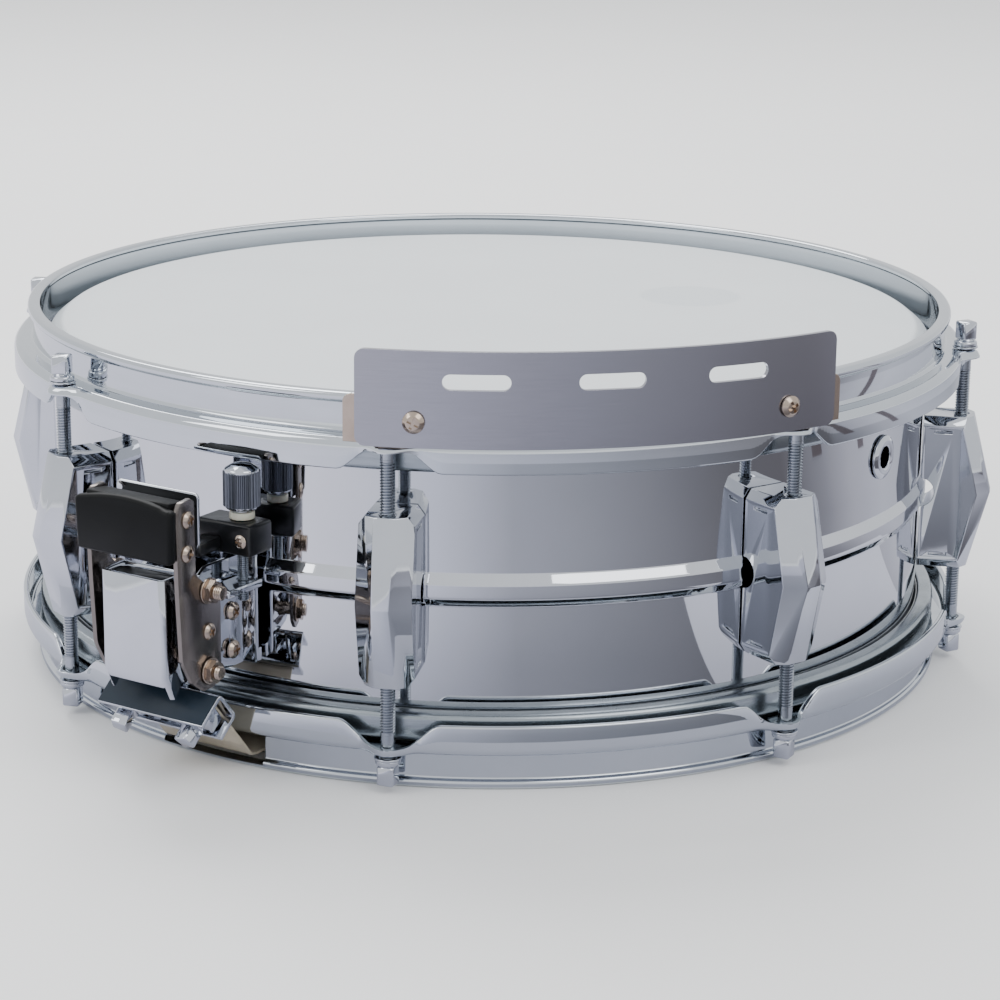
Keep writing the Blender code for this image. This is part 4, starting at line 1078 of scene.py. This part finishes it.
def makeLever():
    s = strainerSizes
    outline = [
        (217.8, -27.5, 1.2), (219.6, -26.0, 1.5), (225.0, -26.6, 2), (228.0, -29.5, 2),
        (227.0, -60.0, 8), (225.6, -84.0, 8), (220.5, -93.5, 5), (215.0, -97.6, 4),
        (208.5, -97.8, 3), (204.4, -93.0, 4), (204.2, -66.0, 5), (217.6, -54.0, 5),
    ]
    pan = makeScrew("armScrew", 3.1, 1.7, 1.4, 1.5)
    for side, word in sides:
        near = side * s["armIn"]
        outer = near + side * s["arm"]
        loops = [roundCorners(outline), circle(s["pivotR"], s["pivotZ"], s["pinRadius"] + 0.3)]
        arm = sheetAcross(f"lever_arm_{word}_stamped", loops, near, outer, 0.3)
        placed(arm, toStrainer)
        dressed(arm, armSteel, "strainer_lever", [f"lever_arm_{word}"])
        out = turn(-90 * side, "X")   # screws point away from the arm's outer face
        for level, (x, z) in enumerate(((221.6, -33.2), (222.2, -45.2), (211.0, -76.4))):
            place = toStrainer @ shift(x, outer, z) @ out @ turn(20 + 50 * level)
            screw = copied(pan, f"lever_screw_{word}_{level}", place)
            dressed(screw, warmNickel, "strainer_lever", angle=32)
        nut = makeNut(f"lever_nut_{word}", 3.4, 3.2)
        placed(nut, toStrainer @ shift(211.0, outer, -61.4) @ out)
        dressed(nut, warmNickel, "strainer_lever", angle=32)
    discard(pan)

    bolt = pin("lever_pivot_steel", s["pinRadius"], -20, 20, 24)
    nuts = []
    for side in (-1, 1):
        nuts.append(placed(makeNut("pivotNut", 3.2, 1.9), shift(z=side * 20.4) @ turn(90 - 90 * side, "X")))
    bolt = placed(merged("lever_pivot_steel", [bolt, *nuts]), turn(90, "X"))
    placed(bolt, toStrainer @ shift(s["pivotR"], 0, s["pivotZ"]))
    dressed(bolt, warmNickel, "drum", ["lever_pivot_bolt"], 32)


def makeNut(name, height, proud):
    # a washer, a hexagon nut with broken corners and the threaded end that stands out of it, along Z
    washer = turnedPiece("washer", [(2.6, 0.1, 0.1), (4.8, 0.1, 0.2), (4.8, 0.8, 0.2), (2.6, 0.8, 0.1)], 32)
    top = height + 0.2
    nut = pin("nut", 4.3, 0.8, top, 6)
    corners = [(0, 0.8, 0), (4.0, 0.8, 0), (4.45, 1.2, 0), (4.45, height - 0.3, 0), (3.9, top, 0), (0, top, 0)]
    rounder = turnedPiece("roundCut", corners, 32, closed=False)
    useModifier(nut, "BOOLEAN", operation="INTERSECT", solver="EXACT", object=rounder)
    discard(rounder)
    corners = [(0, -0.5, 0), (2.2, -0.5, 0)]
    turns = max(2, int(proud / 0.8))
    for index in range(turns):
        z = top + index * proud / turns
        corners += [(2.1, z, 0), (2.5, z + 0.3, 0), (2.5, z + 0.45, 0)]
    corners += [(2.1, top + proud, 0.2), (0, top + proud + 0.2, 0)]
    end = turnedPiece("threadEnd", corners, 24, closed=False)
    return merged(name, [washer, nut, end])


def makeGrip():
    s = strainerSizes
    half = s["armIn"] - 0.4
    core = [(213.6, -46.0, 1.5), (213.6, -31.0, 3), (219.5, -27.4, 4), (229.5, -26.2, 0.8), (229.5, -47.4, 0.3)]
    inner = sheetAcross("lever_grip_moulded", [roundCorners(core)], -half, half, 0.4)
    crown = [(21.6 * (1 - i / 12), -28.4 + 2.8 * math.cos(math.pi / 2 * (1 - i / 12))) for i in range(25)]
    front = [(-20.8, -47.5), (20.8, -47.5)] + crown
    face = placed(cutPlate("gripFace", [front], 4.3, 1.5, 5), shift(228.2) @ facing)
    grip = merged("lever_grip_moulded", [inner, face])
    placed(grip, toStrainer)
    dressed(grip, gripRubber, "strainer_lever", ["lever_grip"], 40)
    outline = roundCorners([(-18.3, -47, 3), (18.3, -47, 3), (18.3, -26.2, 2), (-18.3, -26.2, 2)])
    back = cutPlate("lever_back_sheet", [outline], 1.5, 0.6, 4)
    placed(back, toStrainer @ shift(211.9) @ facing)
    dressed(back, castChrome, "strainer_lever")


def makeCheekScrews():
    s = strainerSizes
    pan = makeScrew("cheekScrew", 3.4, 2.1, 1.6, 3.0)
    outer = s["cheekIn"] + s["cheek"] + 0.3
    for side, word in sides:
        for z, level in zip(s["screwZ"], ("upper", "lower")):
            slotTurn = 38 if level == "upper" else 5
            place = toStrainer @ shift(s["screwR"], side * outer, z) @ turn(-90 * side, "X") @ turn(slotTurn)
            screw = copied(pan, f"cheek_screw_{word}_{level}_pan", place)
            dressed(screw, warmNickel, "drum", [f"cheek_screw_{word}_{level}"], 32)
    discard(pan)


def makeKnob():
    s = strainerSizes
    points = s["ribs"] * 4
    outline = []
    for index in range(points):
        radius = s["knobRadius"] - (0.0 if index % 4 in (0, 1) else 0.42)
        angle = 2 * math.pi * index / points
        outline.append((radius * math.cos(angle), radius * math.sin(angle)))
    body = placed(cutPlate("tension_knob_knurled", [outline], 12.4, 0), shift(z=-35.4))
    place = toStrainer @ shift(s["knobR"], s["knobSide"])
    dressed(placed(body, place), knobGrey, "tension_knob", ["tension_knob"], 25)
    cap = [(0, -20.0, 0), (3.6, -20.4, 3), (6.2, -21.9, 1.2), (6.3, -23.4, 0.3), (0, -23.4, 0)]
    foot = [(0, -35.2, 0), (6.1, -35.2, 0.2), (5.6, -36.5, 0.5), (3.6, -36.7, 0.3), (3.6, -37.6, 0.2)]
    collar = [(0, -37.5, 0), (4.5, -37.5, 0.5), (4.6, -40.2, 0.4), (0, -40.2, 0)]
    thread = [(0, -40.0, 0), (1.9, -40.0, 0)]
    for index in range(s["screwTurns"]):
        z = -41.0 - index * s["screwPitch"]
        thread += [(1.6, z, 0), (2.05, z - 0.28, 0), (2.05, z - 0.42, 0)]
    thread += [(1.6, -70.6, 0.2), (0, -71.0, 0)]
    turned = (
        ("cap", cap, 48, castChrome), ("foot", foot + [(0, -37.6, 0)], 48, castChrome),
        ("collar", collar, 48, creamAcetal), ("screw", thread, 20, threadChrome),
    )
    for word, corners, steps, finish in turned:
        part = turnedPiece(f"tension_knob_{word}", corners, steps, closed=False)
        dressed(placed(part, place), finish, "tension_knob")


def screwHole(low, high):
    # the knob's screw passes here with room to turn
    s = strainerSizes
    return placed(pin("screwCut", s["screwHole"], low, high, 24), shift(s["knobR"], s["knobSide"]))


def makeYoke():
    body = box("tension_yoke_moulded", (183.6, 4.0, -52.0), (197.0, 28.0, -40.5), 1.3, 4)
    step = box("yokeStep", (184.2, 12.0, -43.5), (196.4, 26.0, -40.4), 0.8, 3)
    arm = box("yokeArm", (195.0, 7.0, -51.0), (209.0, 15.0, -46.0), 1.0, 3)
    # bored before they join: a cut through blocks that overlap leaves skins in the bore
    for block in (body, step):
        cutAway(block, [screwHole(-60, -30)])
    yoke = merged("tension_yoke_moulded", [body, step, arm])
    placed(yoke, toStrainer)
    dressed(yoke, blackNylon, "tension_slide", ["tension_yoke"], 35)
    pan = makeScrew("tension_yoke_screw", 2.6, 1.4, 1.2, 2.0)
    placed(pan, toStrainer @ shift(196.9, 24.0, -46.5) @ turn(90, "Y"))
    dressed(pan, warmNickel, "tension_slide", angle=32)


def makeCarriage():
    s = strainerSizes
    web = box("web", (203.0, -11.0, -106.9), (205.0, 11.0, -63.0), 0.4)
    shelf = box("shelf", (184.6, 7.0, -66.0), (204.0, 24.0, -63.0), 0.6, 3)
    cutAway(shelf, [screwHole(-80, -50)])
    half, sheet = s["clampHalf"], 1.5
    line = [
        (-7.5, -7.0, 2.2), (3.5, -7.0, 0), (3.5, -7.0 + sheet, 0), (-7.5 + sheet, -7.0 + sheet, 0.8),
        (-7.5 + sheet, 7.0 - sheet, 0.8), (6.5, 7.0 - sheet, 0), (6.5, 7.0, 0), (-7.5, 7.0, 2.2),
    ]
    channel = sheetAcross("channel", [roundCorners(line)], -half, half, 0.3)
    cutAway(channel, [box("strapCut", (-5.9, -21, -9), (-4.2, 21, -4))])
    placed(channel, toClamp)
    carriage = merged("snare_carriage_bent", [web, shelf, channel])
    placed(carriage, toStrainer)
    dressed(carriage, castChrome, "snare_unit", ["snare_carriage"])
    # the dark face on the channel's upper side: a painted reflection of the dark room in the chrome clamp
    face = box("snare_carriage_face", (-6.0, -half + 0.4, 7.0), (6.3, half - 0.4, 7.35), 0.12, 2)
    dressed(placed(face, toStrainer @ toClamp), darkReflectionFace, "snare_unit")
    bar = box("snare_clamp_bar_cast", (-4.2, -21, -4.4), (3.0, 21, 4.4), 0.6, 3)
    dressed(placed(bar, toStrainer @ toClamp), castChrome, "snare_unit", ["snare_clamp_bar"])


def makeBolt(shankEnd, seat):
    # a square-headed bolt along X with a round collar, its head's corners broken
    shank = placed(pin("shank", 2.2, shankEnd, seat + 1, 24), turn(90, "Y"))
    top = seat + 2.0
    corners = [(0, seat, 0), (4.0, seat, 0.5), (4.0, seat + 1.4, 0.5), (2.4, top, 0.5), (0, top, 0)]
    collar = placed(turnedPiece("collar", corners, 40, closed=False), turn(90, "Y"))
    head = box("boltHead", (seat + 1.2, -3.0, -3.0), (seat + 8.0, 3.0, 3.0), 0.6, 3)
    return merged("clampBolt", [shank, collar, head])


def makeClampBolts():
    s = strainerSizes
    clamps = (
        # name, bolt, clamp's place, turn of its heads in degrees, body
        ("snare", makeBolt(-7.0, 3.3), toStrainer @ toClamp, 20, "snare_unit"),
        ("butt", makeBolt(193.4, 199.9), toButt @ shift(z=-112.0), 15, "drum"),
    )
    for end, bolt, clamp, headTurn, body in clamps:
        for side, word in sides:
            place = clamp @ shift(y=side * s["boltSide"]) @ turn(headTurn * side, "X")
            twin = copied(bolt, f"{end}_clamp_bolt_{word}_steel", place)
            dressed(twin, castChrome, body, [f"{end}_clamp_bolt_{word}"])
        discard(bolt)


makeBase()
makeCover()
makeLever()
makeGrip()
makeCheekScrews()
makeKnob()
makeYoke()
makeCarriage()
makeClampBolts()
print("strainer made")


# snares: coiled strands brazed into end plates, and a strap each way to its clamp

snareSizes = {
    "count": 20, "spacing": 2.1, "coil": 0.42, "wire": 0.16, "pitch": 2.2, "turns": 130,
    "end": 149.0, "plate": 9.0,
    "level": -129.05, "strapLevel": -130.5, "strap": 1.0, "strapHalf": 20.0,
}


def makeWires():
    s = snareSizes
    strand = startPiece("strand")
    ring = circle(s["coil"], 0, s["wire"], 4)
    drawLine([(x * mm, 0, z * mm) for x, z in ring], True)
    mergeDoubles(0.0005)
    bpy.ops.object.mode_set(mode="OBJECT")
    useModifier(
        strand, "SCREW", axis="Z", angle=2 * math.pi, screw_offset=s["pitch"] * mm, iterations=s["turns"],
        steps=8, render_steps=8, use_normal_calculate=True,
    )
    placed(strand, turn(90, "X") @ shift(z=-s["turns"] * s["pitch"] / 2))
    half = s["spacing"] * s["count"] / 2
    parts = []
    for index in range(s["count"]):
        x = s["spacing"] * (index - (s["count"] - 1) / 2)
        parts.append(copied(strand, f"strand{index}", shift(x, 0, s["level"])))
    discard(strand)
    for side in (-1, 1):
        low, high = sorted((side * (s["end"] - s["plate"]), side * s["end"]))
        parts.append(box("endPlate", (-half, low, s["level"] - 0.65), (half, high, s["level"] + 0.65), 0.2))
    dressed(merged("snare_wires_coiled", parts), wireSteel, "snare_unit", ["snare_wires"], 50)


def makeStraps():
    s = snareSizes
    level, reach = s["strapLevel"], s["end"] - 4
    low = toClamp @ Vector((-5.1 * mm, 0, -24.0 * mm)) / mm
    high = toClamp @ Vector((-5.1 * mm, 0, 3.6 * mm)) / mm
    line = [(reach, level, 0), (184.0, level, 2), (187.3, level + 0.6, 2)]
    line += [(low.x, low.z, 3), (high.x, high.z, 0)]
    strap = placed(bentSheet("strainer_strap_plastic", line, s["strapHalf"], s["strap"], 0.2), toStrainer)
    dressed(strap, strapPlastic, "snare_unit", ["strainer_strap"], 40)
    line = [
        (reach, level, 0), (188.0, level, 3), (192.5, level + 1.4, 3),
        (195.2, level + 4.6, 3), (196.0, level + 8.5, 3), (196.0, -103.0, 0),
    ]
    strap = bentSheet("butt_strap_plastic", line, s["strapHalf"], s["strap"], 0)
    cutAway(strap, [box("slotCut", (190, y - 2.6, -115.5), (200, y + 2.6, -104.5)) for y in (-15, 15)])
    breakEdges(strap, 0.15)
    dressed(placed(strap, toButt), strapPlastic, "snare_unit", ["butt_strap"], 40)


def makeButt():
    line = [(179.7, -79.0, 0), (179.7, -105.0, 2.5), (194.1, -105.0, 2.5), (194.1, -119.0, 0)]
    bracket = bentSheet("butt_bracket_bent", line, 18.0, 2.2, 0)
    foot = box("foot", (177.9, -20, -107.4), (181.4, 20, -79), 0.6, 3)
    bracket = merged("butt_bracket_bent", [bracket, foot])
    holes = []
    for y in (-15, 15):
        holes.append(placed(pin("holeCut", 2.6, 186, 199, 24), shift(0, y, -112) @ turn(90, "Y")))
    cutAway(bracket, [merged("holeCuts", holes)])
    breakEdges(bracket, 0.25, 2, 50)
    dressed(placed(bracket, toButt), castChrome, "drum", ["butt_bracket"], 40)
    outline = roundCorners([(-22, -119, 2.5), (22, -119, 2.5), (22, -104, 2.5), (-22, -104, 2.5)])
    loops = [outline, circle(-15, -112, 2.6), circle(15, -112, 2.6)]
    plate = cutPlate("butt_clamp_plate_cut", loops, 2.8, 0.5, 3)
    dressed(placed(plate, toButt @ shift(196.8) @ facing), castChrome, "drum", ["butt_clamp_plate"])


makeWires()
makeStraps()
makeButt()
print("snares and butt end made")
